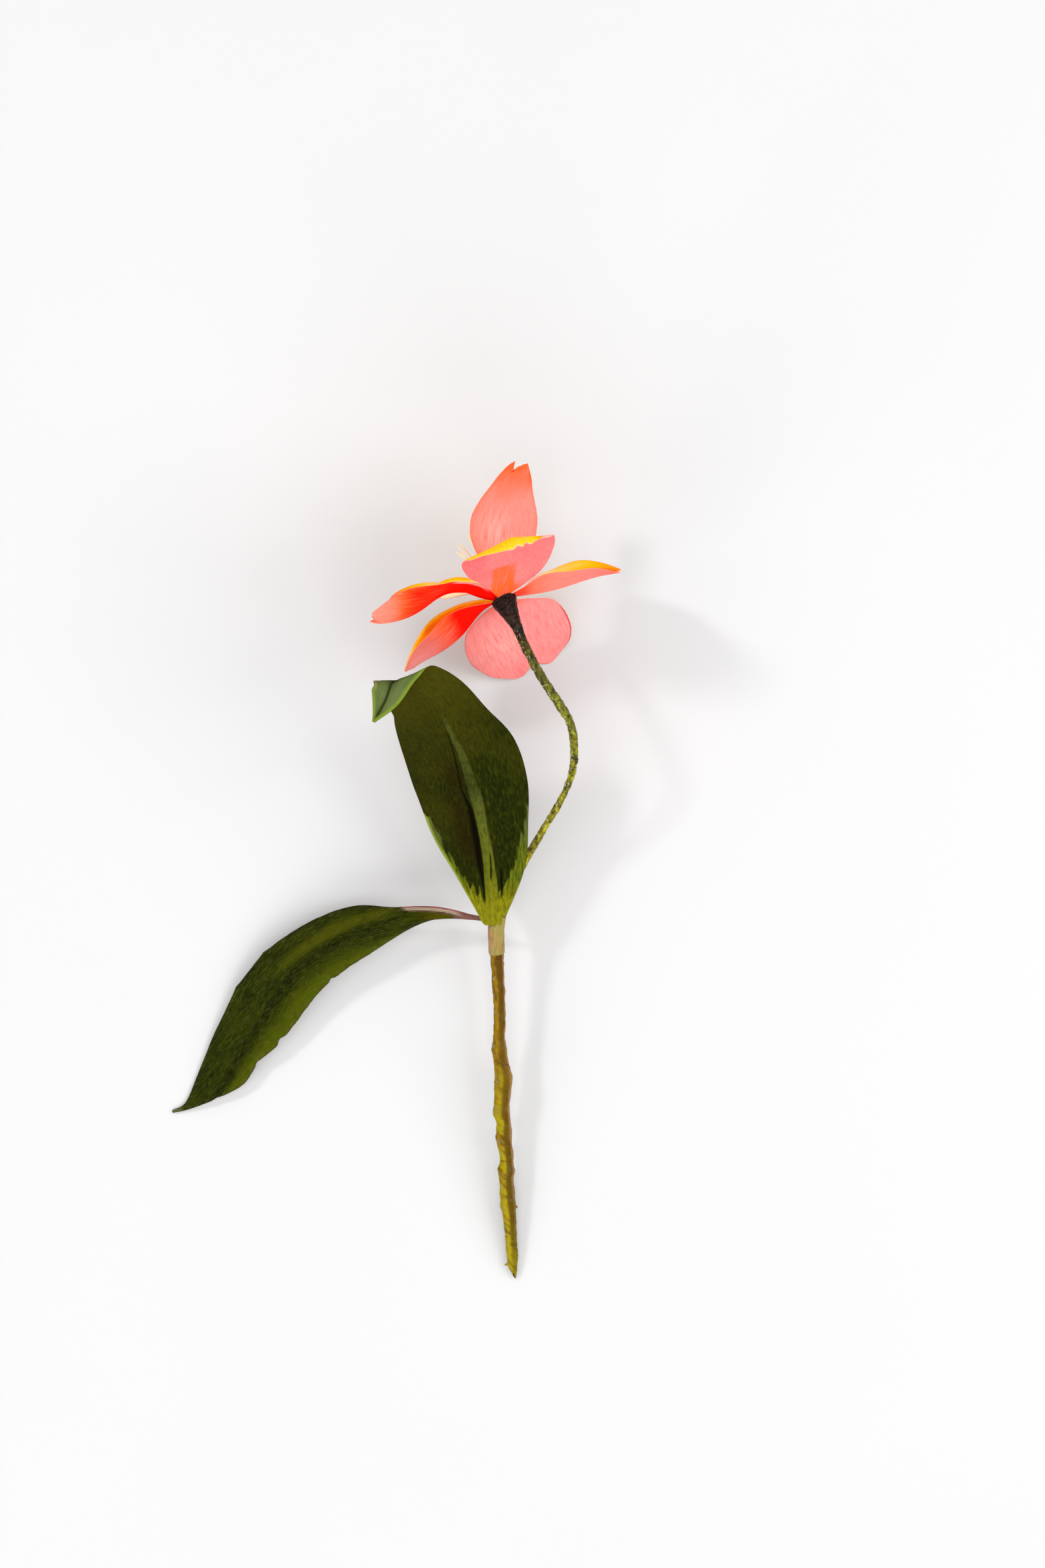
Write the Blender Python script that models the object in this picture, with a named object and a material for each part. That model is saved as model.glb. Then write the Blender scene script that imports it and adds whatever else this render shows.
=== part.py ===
"""A cut lily stem laid on a table: one bloom, a bent stalk and two strap leaves.

Metres, with +Z up and the table at z = 0. The stalk lies along Y with its cut end towards
-Y, and the bloom shows its back, as a flower does when it is laid down on its face.
The origin is on the table, under the middle of the box that the stem fills.
"""

import math
import random
from collections import namedtuple

import bmesh
import bpy
from mathutils import Matrix, Quaternion, Vector

MM = 0.001
BLADE_THICKNESS = 0.6 * MM

# The bloom's seat is the middle of the stalk's flared mouth. Its axis is the way it faces.
SEAT = Vector((41.2, 101.0, 44.6)) * MM
BLOOM_AXIS = Vector((-0.42, 0.82, -0.38)).normalized()

# The stalk, from the cut end to the mouth: x, y and z of its middle, and its radius, in mm.
STALK = (
    (44.8, -150.6, 1.4, 1.3),
    (44.1, -144.5, 2.15, 2.0),
    (43.1, -133.0, 4.0, 2.35),
    (42.3, -121.5, 5.7, 2.8),
    (41.7, -110.0, 7.4, 2.8),
    (40.9, -98.0, 9.0, 2.8),
    (40.3, -86.0, 10.6, 2.9),
    (40.5, -74.0, 12.1, 3.1),
    (39.6, -61.0, 13.8, 2.4),
    (39.1, -47.0, 15.8, 2.3),
    (38.5, -34.0, 17.6, 2.3),
    (38.1, -23.5, 19.4, 2.9),
    (38.7, -14.0, 21.1, 2.7),
    (42.2, -4.6, 21.9, 1.8),
    (48.4, 5.6, 23.4, 1.45),
    (55.2, 17.2, 26.6, 1.35),
    (61.4, 27.6, 30.0, 1.3),
    (65.6, 37.2, 34.0, 1.35),
    (66.8, 46.6, 38.6, 1.45),
    (65.3, 56.4, 43.4, 1.55),
    (60.6, 64.4, 47.0, 1.7),
    (56.0, 71.2, 49.3, 1.7),
    (52.0, 78.2, 50.5, 1.7),
    (48.6, 84.8, 50.4, 1.6),
    (45.9, 91.2, 49.0, 2.0),
    (43.4, 96.4, 46.9, 3.2),
)
MOUTH_RADIUS = 4.7 * MM
# Lumps where the stalk's wrapping is thick: height in y, the side it stands out on, in degrees
# from +X towards the table, and how far, in mm.
LUMPS = (
    (-135.0, 190, 0.2),
    (-126.5, 20, 0.4),
    (-112.0, 200, 0.5),
    (-100.0, 10, 0.4),
    (-88.0, 150, 0.4),
    (-76.5, -20, 0.6),
    (-66.0, 200, 0.6),
    (-28.5, -40, 0.3),
)
LUMP_REACH = 4.0 * MM
STALK_SIDES = 12
STALK_RINGS = 84

Petal = namedtuple("Petal", "name azimuth length width outline claw rise yaw roll fold cup notch")

# Angles in degrees, each read from evenly spaced stations between the claw and the tip. rise
# is the midrib's slope from the plane of the open bloom, yaw turns the midrib sideways, and
# roll turns the blade about it, fold and cup lift its two halves. Sizes are in mm, and claw
# is the radius and the height at which the petal starts.
OUTER_CLAW = (2.5, 0.8)
MIDDLE_CLAW = (2.5, 1.6)
INNER_CLAW = (2.5, 2.4)
BROAD = (0.08, 0.50, 0.86, 0.98, 1.0, 0.98, 0.92, 0.78, 0.40)
ROUNDED = (0.08, 0.46, 0.80, 0.97, 1.0, 0.96, 0.84, 0.62, 0.28)
POINTED = (0.09, 0.36, 0.68, 0.90, 1.0, 0.98, 0.86, 0.58, 0.18)
PETALS = (
    Petal("petal_outer_near", 18, 50, 35, ROUNDED, OUTER_CLAW,
          (8, 0, -2, -3, -5, -28, -100), (0, 0), (0, -8, -10), (3, -5, -10), 2, 2.0),
    Petal("petal_outer_right", 102, 42, 34, POINTED, OUTER_CLAW,
          (4, -14, -16, -16, -14), (0, 0), (14, 32, 33, 33), (10, 17, 17, 16), 4, 3.0),
    Petal("petal_outer_far", 181, 48.7, 39, BROAD, OUTER_CLAW,
          (4, -9, -12, -12, -12), (0, 0), (0, 0), (4, 4), 4, 3.6),
    Petal("petal_outer_low_left", -99, 47, 32, POINTED, OUTER_CLAW,
          (2, -14, -16, -17, -18), (0, 0), (-12, -34, -36, -34), (14, 28, 28, 26), 4, 3.0),
    Petal("petal_outer_left", -62, 52, 33, POINTED, MIDDLE_CLAW,
          (30, 26, -4, -12, -20), (0, 0), (-8, -30, -26, -10, -2), (8, 8, 10, 12, 12), 4, 3.0),
    Petal("petal_inner_near", 50, 48, 36, POINTED, INNER_CLAW,
          (66, 52, 44, 42, 42), (-2, 0, 6, 10), (0, 0), (2, -3, -5), 2, 3.4),
    Petal("petal_inner_far", -151, 42, 30, POINTED, INNER_CLAW,
          (66, 46, 36, 30, 24), (0, 0), (0, 0), (16, 16), 12, 3.0),
)
NOTCH_SHARPNESS = 6
PETAL_ROWS = 16
PETAL_COLUMNS = 10

# The stamens stand on a domed boss in the middle of the bloom. Sizes are in mm: the boss as
# heights above the seat with their radii, and the radius and height where a filament starts,
# inside the boss, and where it ends.
BOSS = ((0.35, 1.9), (2.4, 1.9), (3.2, 1.5), (3.6, 0.75))
BOSS_SIDES = 12
STAMENS = 9
STAMEN_ROOT = (0.95, 2.0)
STAMEN_TIP = (8.5, 29.0)
STAMEN_RADIUS = 0.45
STAMEN_FLARE = 1.3
STAMEN_RINGS = 8
STAMEN_SIDES = 6
STAMEN_SEED = 4

Leaf = namedtuple("Leaf", "name midrib side roll fold cup")

# Each leaf: x, y and z of its midrib and half its width, in mm, from root to tip. side is the
# way that its +v half points at the root, and the angles turn, fold and cup it as above.
LEAVES = (
    Leaf(
        "leaf_upright",
        (
            (38.4, -17.6, 24.2, 4.4),
            (36.8, -6.6, 27.8, 9.8),
            (34.0, 5.8, 33.0, 15.8),
            (31.2, 18.4, 39.0, 19.8),
            (28.4, 30.8, 45.2, 21.6),
            (25.2, 42.4, 51.6, 22.0),
            (20.9, 53.0, 58.2, 19.2),
            (16.2, 61.4, 64.4, 14.8),
            (11.4, 66.8, 70.2, 11.4),
            (6.4, 67.6, 74.0, 10.4),
            (1.8, 64.6, 73.6, 9.8),
            (-1.8, 60.9, 70.0, 7.2),
            (-5.2, 56.4, 65.0, 0.6),
        ),
        Vector((1, 0, 0)),
        (0, -4, -5, -4, -2, 0),
        (5, 12, 16, 16, 14, 12, 8),
        (60, 28, 14, 12, 10, 8, 6),
    ),
    Leaf(
        "leaf_trailing",
        (
            (34.9, -26.6, 16.4, 3.3),
            (33.7, -17.6, 17.5, 3.7),
            (26.2, -14.8, 17.8, 4.2),
            (15.0, -14.8, 18.4, 4.8),
            (3.0, -17.4, 18.0, 6.6),
            (-9.6, -20.6, 17.0, 9.8),
            (-21.6, -25.4, 15.4, 12.0),
            (-33.0, -32.0, 13.4, 12.9),
            (-42.2, -41.2, 11.2, 13.0),
            (-49.9, -51.0, 9.0, 12.5),
            (-56.7, -61.2, 7.0, 11.2),
            (-63.1, -71.2, 5.2, 9.2),
            (-70.2, -79.8, 3.6, 6.3),
            (-78.4, -86.0, 1.7, 2.3),
            (-84.2, -89.0, 0.42, 0.6),
        ),
        Vector((-0.57, 0, 0.82)),
        (0, 20, 66, 108, 118, 121, 123, 125, 125),
        (0, 12, 28, 18, 12, 12, 12, 10, 6),
        (60, 50, 40, 16, 10, 8, 6, 4, 4),
    ),
)
LEAF_ROWS = 34
LEAF_COLUMNS = 8
MIDRIB_STEPS = 60
SECTION_STEPS = 8


def through(values, t):
    """The value at t, from 0 to 1, on a smooth curve through evenly spaced values."""
    last = len(values) - 1
    if last == 1:
        return values[0] * (1 - t) + values[1] * t
    span = min(int(t * last), last - 1)
    s = t * last - span
    a, b = values[span], values[span + 1]
    before = values[span - 1] if span > 0 else a * 2 - b
    after = values[span + 2] if span + 2 <= last else b * 2 - a
    leave = (b - before) * 0.5
    arrive = (after - a) * 0.5
    rest = 1 - s
    return (
        a * (rest * rest * (1 + 2 * s))
        + b * (s * s * (3 - 2 * s))
        + leave * (s * rest * rest)
        - arrive * (s * s * rest)
    )


def angle_through(degrees, t):
    return math.radians(through(degrees, t))


def material(name, colour, roughness):
    made = bpy.data.materials.new(name)
    made.use_nodes = True
    shader = made.node_tree.nodes["Principled BSDF"]
    shader.inputs["Base Color"].default_value = (*colour, 1)
    shader.inputs["Roughness"].default_value = roughness
    shader.inputs["Metallic"].default_value = 0
    return made


def add_object(name, form, finish, parent=None):
    mesh = bpy.data.meshes.new(name)
    form.to_mesh(mesh)
    form.free()
    mesh.shade_smooth()
    mesh.materials.append(finish)
    obj = bpy.data.objects.new(name, mesh)
    bpy.context.scene.collection.objects.link(obj)
    obj.parent = parent
    return obj


def blade(name, surface, rows, columns, finish, parent=None):
    """A thin blade: surface(u, v) with u from root to tip and v from -1 to 1 across."""
    form = bmesh.new()
    bmesh.ops.create_grid(form, x_segments=columns, y_segments=rows, size=1)
    for vertex in form.verts:
        vertex.co = surface((vertex.co.y + 1) / 2, vertex.co.x)
    bmesh.ops.triangulate(form, faces=form.faces)
    obj = add_object(name, form, finish, parent)
    wall = obj.modifiers.new("Thickness", "SOLIDIFY")
    wall.thickness = BLADE_THICKNESS
    wall.offset = 0
    return obj


def across(half_width, fold, cup, v):
    """Sideways and inward offsets at v on a section whose halves are folded and cupped."""
    side = inward = 0.0
    step = abs(v) * half_width / SECTION_STEPS
    for i in range(SECTION_STEPS):
        angle = fold + cup * abs(v) * (i + 0.5) / SECTION_STEPS
        side += step * math.cos(angle)
        inward += step * math.sin(angle)
    return math.copysign(side, v), inward


def petal_surface(petal):
    """The petal's middle surface in the bloom's frame, before its azimuth turns it."""

    def frame(t):
        rise, yaw = angle_through(petal.rise, t), angle_through(petal.yaw, t)
        side = Vector((-math.sin(yaw), math.cos(yaw), 0))
        ahead = Vector((math.cos(yaw), math.sin(yaw), 0)) * math.cos(rise)
        ahead.z = math.sin(rise)
        return ahead, side

    midrib = [Vector((petal.claw[0], 0, petal.claw[1])) * MM]
    for i in range(MIDRIB_STEPS):
        ahead, _ = frame((i + 0.5) / MIDRIB_STEPS)
        midrib.append(midrib[-1] + ahead * (petal.length * MM / MIDRIB_STEPS))

    def surface(u, v):
        t = u * (1 - petal.notch / petal.length * (1 - abs(v)) * u ** NOTCH_SHARPNESS)
        ahead, side = frame(t)
        turn = Quaternion(ahead, angle_through(petal.roll, t))
        half = petal.width / 2 * MM * through(petal.outline, u)
        y, z = across(half, angle_through(petal.fold, t), math.radians(petal.cup), v)
        start = min(int(t * MIDRIB_STEPS), MIDRIB_STEPS - 1)
        middle = midrib[start].lerp(midrib[start + 1], t * MIDRIB_STEPS - start)
        return middle + turn @ (side * y + ahead.cross(side) * z)

    return surface


def leaf_surface(leaf):
    """The leaf's middle surface: a section carried along the midrib untwisted, then rolled."""
    points = [Vector(row[:3]) * MM for row in leaf.midrib]
    halves = [row[3] * MM for row in leaf.midrib]
    middles = [through(points, i / MIDRIB_STEPS) for i in range(MIDRIB_STEPS + 1)]
    aheads = [
        (middles[min(i + 1, MIDRIB_STEPS)] - middles[max(i - 1, 0)]).normalized()
        for i in range(MIDRIB_STEPS + 1)
    ]
    side = leaf.side
    sides = []
    for ahead in aheads:
        side = (side - ahead * side.dot(ahead)).normalized()
        sides.append(side)

    def surface(u, v):
        place = u * MIDRIB_STEPS
        start = min(int(place), MIDRIB_STEPS - 1)
        share = place - start
        ahead = aheads[start].lerp(aheads[start + 1], share).normalized()
        side = sides[start].lerp(sides[start + 1], share).normalized()
        turn = Quaternion(ahead, angle_through(leaf.roll, u))
        fold, cup = angle_through(leaf.fold, u), angle_through(leaf.cup, u)
        y, z = across(through(halves, u), fold, cup, v)
        middle = middles[start].lerp(middles[start + 1], share)
        return middle + turn @ (side * y + ahead.cross(side) * z)

    return surface


def tube(form, middles, radii, sides, end_way=None):
    """A closed tube of rings along middles, each square to the path, the last to end_way."""
    rings = []
    across_way = Vector((1, 0, 0))
    last = len(middles) - 1
    for i, (middle, radius) in enumerate(zip(middles, radii)):
        ahead = (middles[min(i + 1, last)] - middles[max(i - 1, 0)]).normalized()
        if i == last and end_way:
            ahead = end_way
        across_way = (across_way - ahead * across_way.dot(ahead)).normalized()
        ring = []
        for k in range(sides):
            arm = Quaternion(ahead, 2 * math.pi * k / sides) @ across_way
            ring.append(form.verts.new(middle + arm * radius))
        rings.append(ring)
    for lower, upper in zip(rings, rings[1:]):
        for k in range(sides):
            j = (k + 1) % sides
            form.faces.new((lower[k], lower[j], upper[j], upper[k]))
    form.faces.new(reversed(rings[0]))
    form.faces.new(rings[-1])
    return rings


def make_stalk(finish):
    points = [Vector(row[:3]) * MM for row in STALK] + [SEAT]
    radii = [row[3] * MM for row in STALK] + [MOUTH_RADIUS]
    steps = [i / STALK_RINGS for i in range(STALK_RINGS + 1)]
    middles = [through(points, t) for t in steps]
    form = bmesh.new()
    rings = tube(form, middles, [through(radii, t) for t in steps], STALK_SIDES, BLOOM_AXIS)
    for y, side, size in LUMPS:
        way = Vector((math.cos(math.radians(side)), 0, -math.sin(math.radians(side))))
        for middle, ring in zip(middles, rings):
            swell = size * MM * math.exp(-(((middle.y - y * MM) / LUMP_REACH) ** 2))
            for vertex in ring:
                arm = (vertex.co - middle).normalized()
                vertex.co += arm * (swell * max(0, arm.dot(way)))
    add_object("stem", form, finish)


def make_stamens(finish, bloom):
    """A domed boss with filaments sunk in it, joined in one solid."""
    draw = random.Random(STAMEN_SEED)
    form = bmesh.new()
    heights = [Vector((0, 0, height)) * MM for height, _ in BOSS]
    tube(form, heights, [radius * MM for _, radius in BOSS], BOSS_SIDES)
    stamens = add_object("stamens", form, finish)
    filaments = bpy.data.collections.new("filaments")
    for i in range(STAMENS):
        azimuth = 2 * math.pi * (i + draw.uniform(-0.2, 0.2)) / STAMENS
        out = Vector((math.cos(azimuth), math.sin(azimuth), 0))
        root = out * STAMEN_ROOT[0] + Vector((0, 0, STAMEN_ROOT[1]))
        reach = out * (STAMEN_TIP[0] * draw.uniform(0.8, 1.15) - STAMEN_ROOT[0])
        climb = Vector((0, 0, STAMEN_TIP[1] * draw.uniform(0.88, 1.05) - STAMEN_ROOT[1]))
        middles = []
        for k in range(STAMEN_RINGS + 1):
            t = k / STAMEN_RINGS
            middles.append((root + reach * t ** STAMEN_FLARE + climb * t) * MM)
        form = bmesh.new()
        tube(form, middles, [STAMEN_RADIUS * MM] * len(middles), STAMEN_SIDES)
        piece = add_object("filament", form, finish)
        bpy.context.scene.collection.objects.unlink(piece)
        filaments.objects.link(piece)
    join = stamens.modifiers.new("Filaments", "BOOLEAN")
    join.operation = "UNION"
    join.operand_type = "COLLECTION"
    join.collection = filaments
    graph = bpy.context.evaluated_depsgraph_get()
    joined = bpy.data.meshes.new_from_object(stamens.evaluated_get(graph))
    stamens.modifiers.clear()
    stamens.data = joined
    for piece in list(filaments.objects):
        bpy.data.objects.remove(piece)
    bpy.data.collections.remove(filaments)
    stamens.parent = bloom


def make_bloom(petal_finish, stamen_finish):
    near = (Vector((0, 0, 1)) - BLOOM_AXIS * BLOOM_AXIS.z).normalized()
    turn = Matrix((near, BLOOM_AXIS.cross(near), BLOOM_AXIS)).transposed()
    bloom = bpy.data.objects.new("bloom", None)
    bpy.context.scene.collection.objects.link(bloom)
    bloom.matrix_world = Matrix.Translation(SEAT) @ turn.to_4x4()
    for petal in PETALS:
        obj = blade(petal.name, petal_surface(petal), PETAL_ROWS, PETAL_COLUMNS, petal_finish, bloom)
        obj.rotation_euler.z = math.radians(petal.azimuth)
    make_stamens(stamen_finish, bloom)


def main():
    for obj in list(bpy.data.objects):
        bpy.data.objects.remove(obj)
    make_stalk(material("stem", (0.20, 0.19, 0.03), 0.45))
    petal_finish = material("petal", (0.90, 0.22, 0.18), 0.6)
    make_bloom(petal_finish, material("stamens", (0.95, 0.80, 0.45), 0.6))
    leaf_finish = material("leaf", (0.07, 0.12, 0.02), 0.55)
    for leaf in LEAVES:
        blade(leaf.name, leaf_surface(leaf), LEAF_ROWS, LEAF_COLUMNS, leaf_finish)


main()
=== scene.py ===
"""A cut lily stem of crepe paper, laid on a pale table and seen from straight above."""

import math
from collections import namedtuple

import bpy
import numpy as np
from mathutils import Matrix, Quaternion, Vector, noise


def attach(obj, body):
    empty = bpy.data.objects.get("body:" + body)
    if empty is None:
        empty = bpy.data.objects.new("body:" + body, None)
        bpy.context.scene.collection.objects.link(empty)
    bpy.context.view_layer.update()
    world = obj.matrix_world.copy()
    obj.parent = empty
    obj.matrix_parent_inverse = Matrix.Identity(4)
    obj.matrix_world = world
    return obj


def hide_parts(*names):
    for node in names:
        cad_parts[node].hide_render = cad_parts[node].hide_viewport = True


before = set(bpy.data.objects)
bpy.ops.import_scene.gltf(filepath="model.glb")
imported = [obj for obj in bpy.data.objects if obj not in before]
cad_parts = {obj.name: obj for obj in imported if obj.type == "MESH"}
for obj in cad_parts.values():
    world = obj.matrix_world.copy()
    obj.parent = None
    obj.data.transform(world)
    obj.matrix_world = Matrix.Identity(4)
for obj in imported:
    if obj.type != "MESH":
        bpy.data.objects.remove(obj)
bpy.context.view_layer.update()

# The stalk
# It is a wire wound with strips of crepe paper, glued down and varnished. It runs from a torn cut
# end, past the node that the leaves clasp, up a thin bent neck to a dark funnel that the petals
# are glued into.
# The lower stalk is painted lighter on its left and darker on its right, as painted light and shade, and
# glints are painted on its left side and on the neck.
MM = 0.001
BLOOM_AXIS = Vector((-0.42, 0.82, -0.38)).normalized()
# The wire's path and how thick the wrapping makes it: x, y, z and the radius, in mm.
STALK = (
    (44.8, -150.6, 1.4, 1.3),
    (44.1, -144.5, 2.15, 2.0),
    (43.1, -133.0, 4.0, 2.35),
    (42.3, -121.5, 5.7, 2.8),
    (41.7, -110.0, 7.4, 2.8),
    (40.9, -98.0, 9.0, 2.8),
    (40.3, -86.0, 10.6, 2.9),
    (40.5, -74.0, 12.1, 3.1),
    (39.6, -61.0, 13.8, 2.4),
    (39.1, -47.0, 15.8, 2.3),
    (38.5, -34.0, 17.6, 2.3),
    (38.1, -23.5, 19.4, 2.9),
    (38.7, -14.0, 21.1, 2.7),
    (42.2, -4.6, 21.9, 1.8),
    (48.4, 5.6, 23.4, 1.45),
    (55.2, 17.2, 26.6, 1.35),
    (61.4, 27.6, 30.0, 1.3),
    (65.6, 37.2, 34.0, 1.35),
    (66.8, 46.6, 38.6, 1.45),
    (65.3, 56.4, 43.4, 1.55),
    (60.6, 64.4, 47.0, 1.7),
    (56.0, 71.2, 49.3, 1.7),
    (52.0, 78.2, 50.5, 1.7),
    (48.6, 84.8, 50.4, 1.6),
    (45.9, 91.2, 49.0, 2.0),
    (43.4, 96.4, 46.9, 3.2),
    (41.2, 101.0, 44.6, 4.7),
)
SEAT = Vector(STALK[-1][:3]) * MM
# The thick lower part's outline as its wrapping makes it: y, the middle's x, and the radius. It
# takes the place of the path's own x and radius there.
OUTLINE = (
    (-150.5, 44.8, 0.8),
    (-149.2, 44.6, 1.3),
    (-144.4, 44.1, 2.0),
    (-136.9, 43.6, 2.3),
    (-129.5, 43.1, 2.4),
    (-123.6, 42.5, 2.9),
    (-117.7, 42.2, 2.8),
    (-112.4, 41.7, 2.8),
    (-110.1, 41.9, 3.2),
    (-107.0, 42.1, 2.6),
    (-102.7, 41.6, 2.7),
    (-97.9, 40.8, 3.1),
    (-92.1, 40.9, 2.7),
    (-87.3, 39.9, 3.2),
    (-84.2, 40.2, 3.0),
    (-79.4, 40.6, 3.3),
    (-75.4, 40.9, 3.4),
    (-67.3, 39.7, 2.7),
    (-64.3, 39.2, 3.0),
    (-58.5, 39.2, 2.3),
    (-52.0, 39.6, 2.2),
    (-44.2, 39.2, 2.3),
    (-33.7, 38.7, 2.35),
    (-28.6, 38.4, 2.55),
    (-28.1, 38.3, 2.95),
    (-18.6, 38.1, 3.1),
    (-11.0, 40.0, 2.4),
    (-4.6, 42.2, 1.8),
)
STALK_RINGS = 1100
STALK_SIDES = 52
# The spine's sideways bends are evened out over this many rings.
EVENED_RINGS = 9
# How far the wrap climbs in one turn, on the lower part and on the neck.
LOWER_PITCH, NECK_PITCH = 10.0, 3.4
# The share of a turn in which one strip dips under the next.
OVERLAP = 0.06
# From where to where along y: the pale sheath, the change to the neck's wrap, and the funnel.
SHEATH = (-28.4, -14.0)
NECK = (-12, 12)
FUNNEL = (88, 96)
NECK_GLAZE_FROM = -14.5
# The slanting cut at the end, and the rings of the pit in it: their share of the radius and depth.
CUT_END, CUT_LENGTH = STALK[0][1], 7
PIT_RINGS = ((0.62, 0.0), (0.55, 0.8), (0.50, 2.2), (0.05, 2.6))
# Scraps that stick out of the wrapping: y, the side in degrees, how far, and how wide.
TATTERS = (
    (-124.5, 0, 0.9, 0.5),
    (-146.4, 185, 1.5, 0.55),
    (-148.6, 150, 0.5, 0.6),
    (-109.8, 200, 0.3, 0.8),
)
# Round the stalk, this many square degrees count as a square mm.
SQUARE_DEGREES = 700


def through(values, t):
    """The value at t, from 0 to 1, on a smooth curve through evenly spaced values."""
    last = len(values) - 1
    if last == 1:
        return values[0] * (1 - t) + values[1] * t
    span = min(int(t * last), last - 1)
    s = t * last - span
    a, b = values[span], values[span + 1]
    before = values[span - 1] if span > 0 else a * 2 - b
    after = values[span + 2] if span + 2 <= last else b * 2 - a
    rest = 1 - s
    return (
        a * (rest * rest * (1 + 2 * s))
        + b * (s * s * (3 - 2 * s))
        + (b - before) * (0.5 * s * rest * rest)
        - (after - a) * (0.5 * s * s * rest)
    )


def ease(low, high, value):
    """0 at low, 1 at high, and smooth between them. Low may be the greater of the two."""
    t = np.clip((value - low) / (high - low), 0, 1)
    return t * t * (3 - 2 * t)


def add_mesh(name, points, faces, finish, marks):
    """A smooth mesh object in metres, with a float attribute at each point for each mark."""
    mesh = bpy.data.meshes.new(name)
    mesh.from_pydata([tuple(p) for p in points], [], faces)
    mesh.shade_smooth()
    for kind, values in marks.items():
        held = mesh.attributes.new(kind, "FLOAT", "POINT")
        held.data.foreach_set("value", np.asarray(values, dtype=np.float32).ravel())
    mesh.materials.append(finish)
    piece = bpy.data.objects.new(name, mesh)
    bpy.context.scene.collection.objects.link(piece)
    return piece


def node(tree, kind, inputs=None, **settings):
    """Adds a node, sets or links its inputs by name or place, and returns its first output."""
    made = tree.nodes.new(kind)
    for setting, value in settings.items():
        setattr(made, setting, value)
    for key, value in (inputs or {}).items():
        if isinstance(key, str):
            target = next(s for s in made.inputs if s.name == key and s.enabled)
        else:
            target = made.inputs[key]
        if isinstance(value, bpy.types.NodeSocket):
            tree.links.new(value, target)
        else:
            target.default_value = value
    return next(s for s in made.outputs if s.enabled)


def blend(tree, share, under, over, mode="MIX"):
    """Colour over on colour under, by share."""
    ends = {6: under, 7: over, 0: share}
    ends = {k: (*v, 1) if isinstance(v, tuple) and len(v) == 3 else v for k, v in ends.items()}
    return node(tree, "ShaderNodeMix", ends, data_type="RGBA", blend_type=mode, clamp_factor=True)


def math_node(tree, operation, *values):
    """One step of arithmetic on numbers or on what other nodes give."""
    return node(tree, "ShaderNodeMath", dict(enumerate(values)), operation=operation)


def times(tree, first, *others):
    """The product of them all."""
    for other in others:
        first = math_node(tree, "MULTIPLY", first, other)
    return first


def plus(tree, first, *others):
    """The sum of them all."""
    for other in others:
        first = math_node(tree, "ADD", first, other)
    return first


def scaled(tree, value, by, more):
    """The value times by, and more."""
    return math_node(tree, "MULTIPLY_ADD", value, by, more)


def step_up(tree, value, low, high, top=1.0):
    """0 where value is under low, top where it is over high."""
    inputs = {"Value": value, "From Min": low, "From Max": high, "To Max": top}
    return node(tree, "ShaderNodeMapRange", inputs, interpolation_type="SMOOTHSTEP")


def grade(tree, value, low, high):
    """0 at low, 1 at high, in an even slope."""
    return node(tree, "ShaderNodeMapRange", {"Value": value, "From Min": low, "From Max": high})


def mark(tree, name):
    """What the mesh holds at each point under that name."""
    made = tree.nodes.new("ShaderNodeAttribute")
    made.attribute_name = name
    return made.outputs["Fac"]


def grain(tree, vector, scale, detail=2.0, roughness=0.55):
    """Noise from 0 to 1."""
    inputs = {"Vector": vector, "Scale": scale, "Detail": detail, "Roughness": roughness}
    return node(tree, "ShaderNodeTexNoise", inputs)


def ramp(tree, share, *stops):
    """A colour that changes with the share, through stops of a place and a colour."""
    made = tree.nodes.new("ShaderNodeValToRGB")
    tree.links.new(share, made.inputs[0])
    elements = made.color_ramp.elements
    while len(elements) < len(stops):
        elements.new(0.5)
    for element, (place, colour) in zip(elements, stops):
        element.position = place
        element.color = (*colour, 1)
    return made.outputs[0]


def object_place(tree):
    """The place on the piece in metres, for patterns that run through it."""
    return tree.nodes.new("ShaderNodeTexCoord").outputs["Object"]


def place_along(tree, place):
    """How far along the stem the place is, in metres."""
    split = tree.nodes.new("ShaderNodeSeparateXYZ")
    tree.links.new(place, split.inputs[0])
    return split.outputs["Y"]


def new_finish(name, roughness, specular, coat=0.0, coat_roughness=0.1):
    """An empty finish and its node tree; the shader's fixed numbers are set here."""
    made = bpy.data.materials.new(name)
    made.use_nodes = True
    shader = made.node_tree.nodes["Principled BSDF"]
    shader.inputs["Roughness"].default_value = roughness
    shader.inputs["Specular IOR Level"].default_value = specular
    shader.inputs["Coat Weight"].default_value = coat
    shader.inputs["Coat Roughness"].default_value = coat_roughness
    return made, made.node_tree


def lay_on(tree, colour, height=None, depth=0.0, strength=1.0, coated=False):
    """Gives the finish its colour, and bump of that depth in mm from a height of 0 to 1."""
    shader = tree.nodes["Principled BSDF"]
    tree.links.new(colour, shader.inputs["Base Color"])
    if height is None:
        return
    bump = node(tree, "ShaderNodeBump", {"Height": height, "Distance": depth * MM, "Strength": strength})
    tree.links.new(bump, shader.inputs["Normal"])
    if coated:
        tree.links.new(bump, shader.inputs["Coat Normal"])


outline_y, outline_x, outline_radius = (np.array(column) for column in zip(*OUTLINE))
spine, girth = [], []
path = [Vector(row[:3]) for row in STALK]
path_radius = [row[3] for row in STALK]
for i in range(STALK_RINGS + 1):
    middle = through(path, i / STALK_RINGS)
    radius = through(path_radius, i / STALK_RINGS)
    if middle.y < outline_y[-1]:
        middle.x = float(np.interp(middle.y, outline_y, outline_x))
        radius = float(np.interp(middle.y, outline_y, outline_radius))
    spine.append(middle)
    girth.append(radius)
padded_x = np.pad([middle.x for middle in spine], EVENED_RINGS // 2, mode="edge")
even_x = np.convolve(padded_x, np.ones(EVENED_RINGS) / EVENED_RINGS, mode="valid")
for middle, x in zip(spine, even_x):
    middle.x = x


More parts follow.
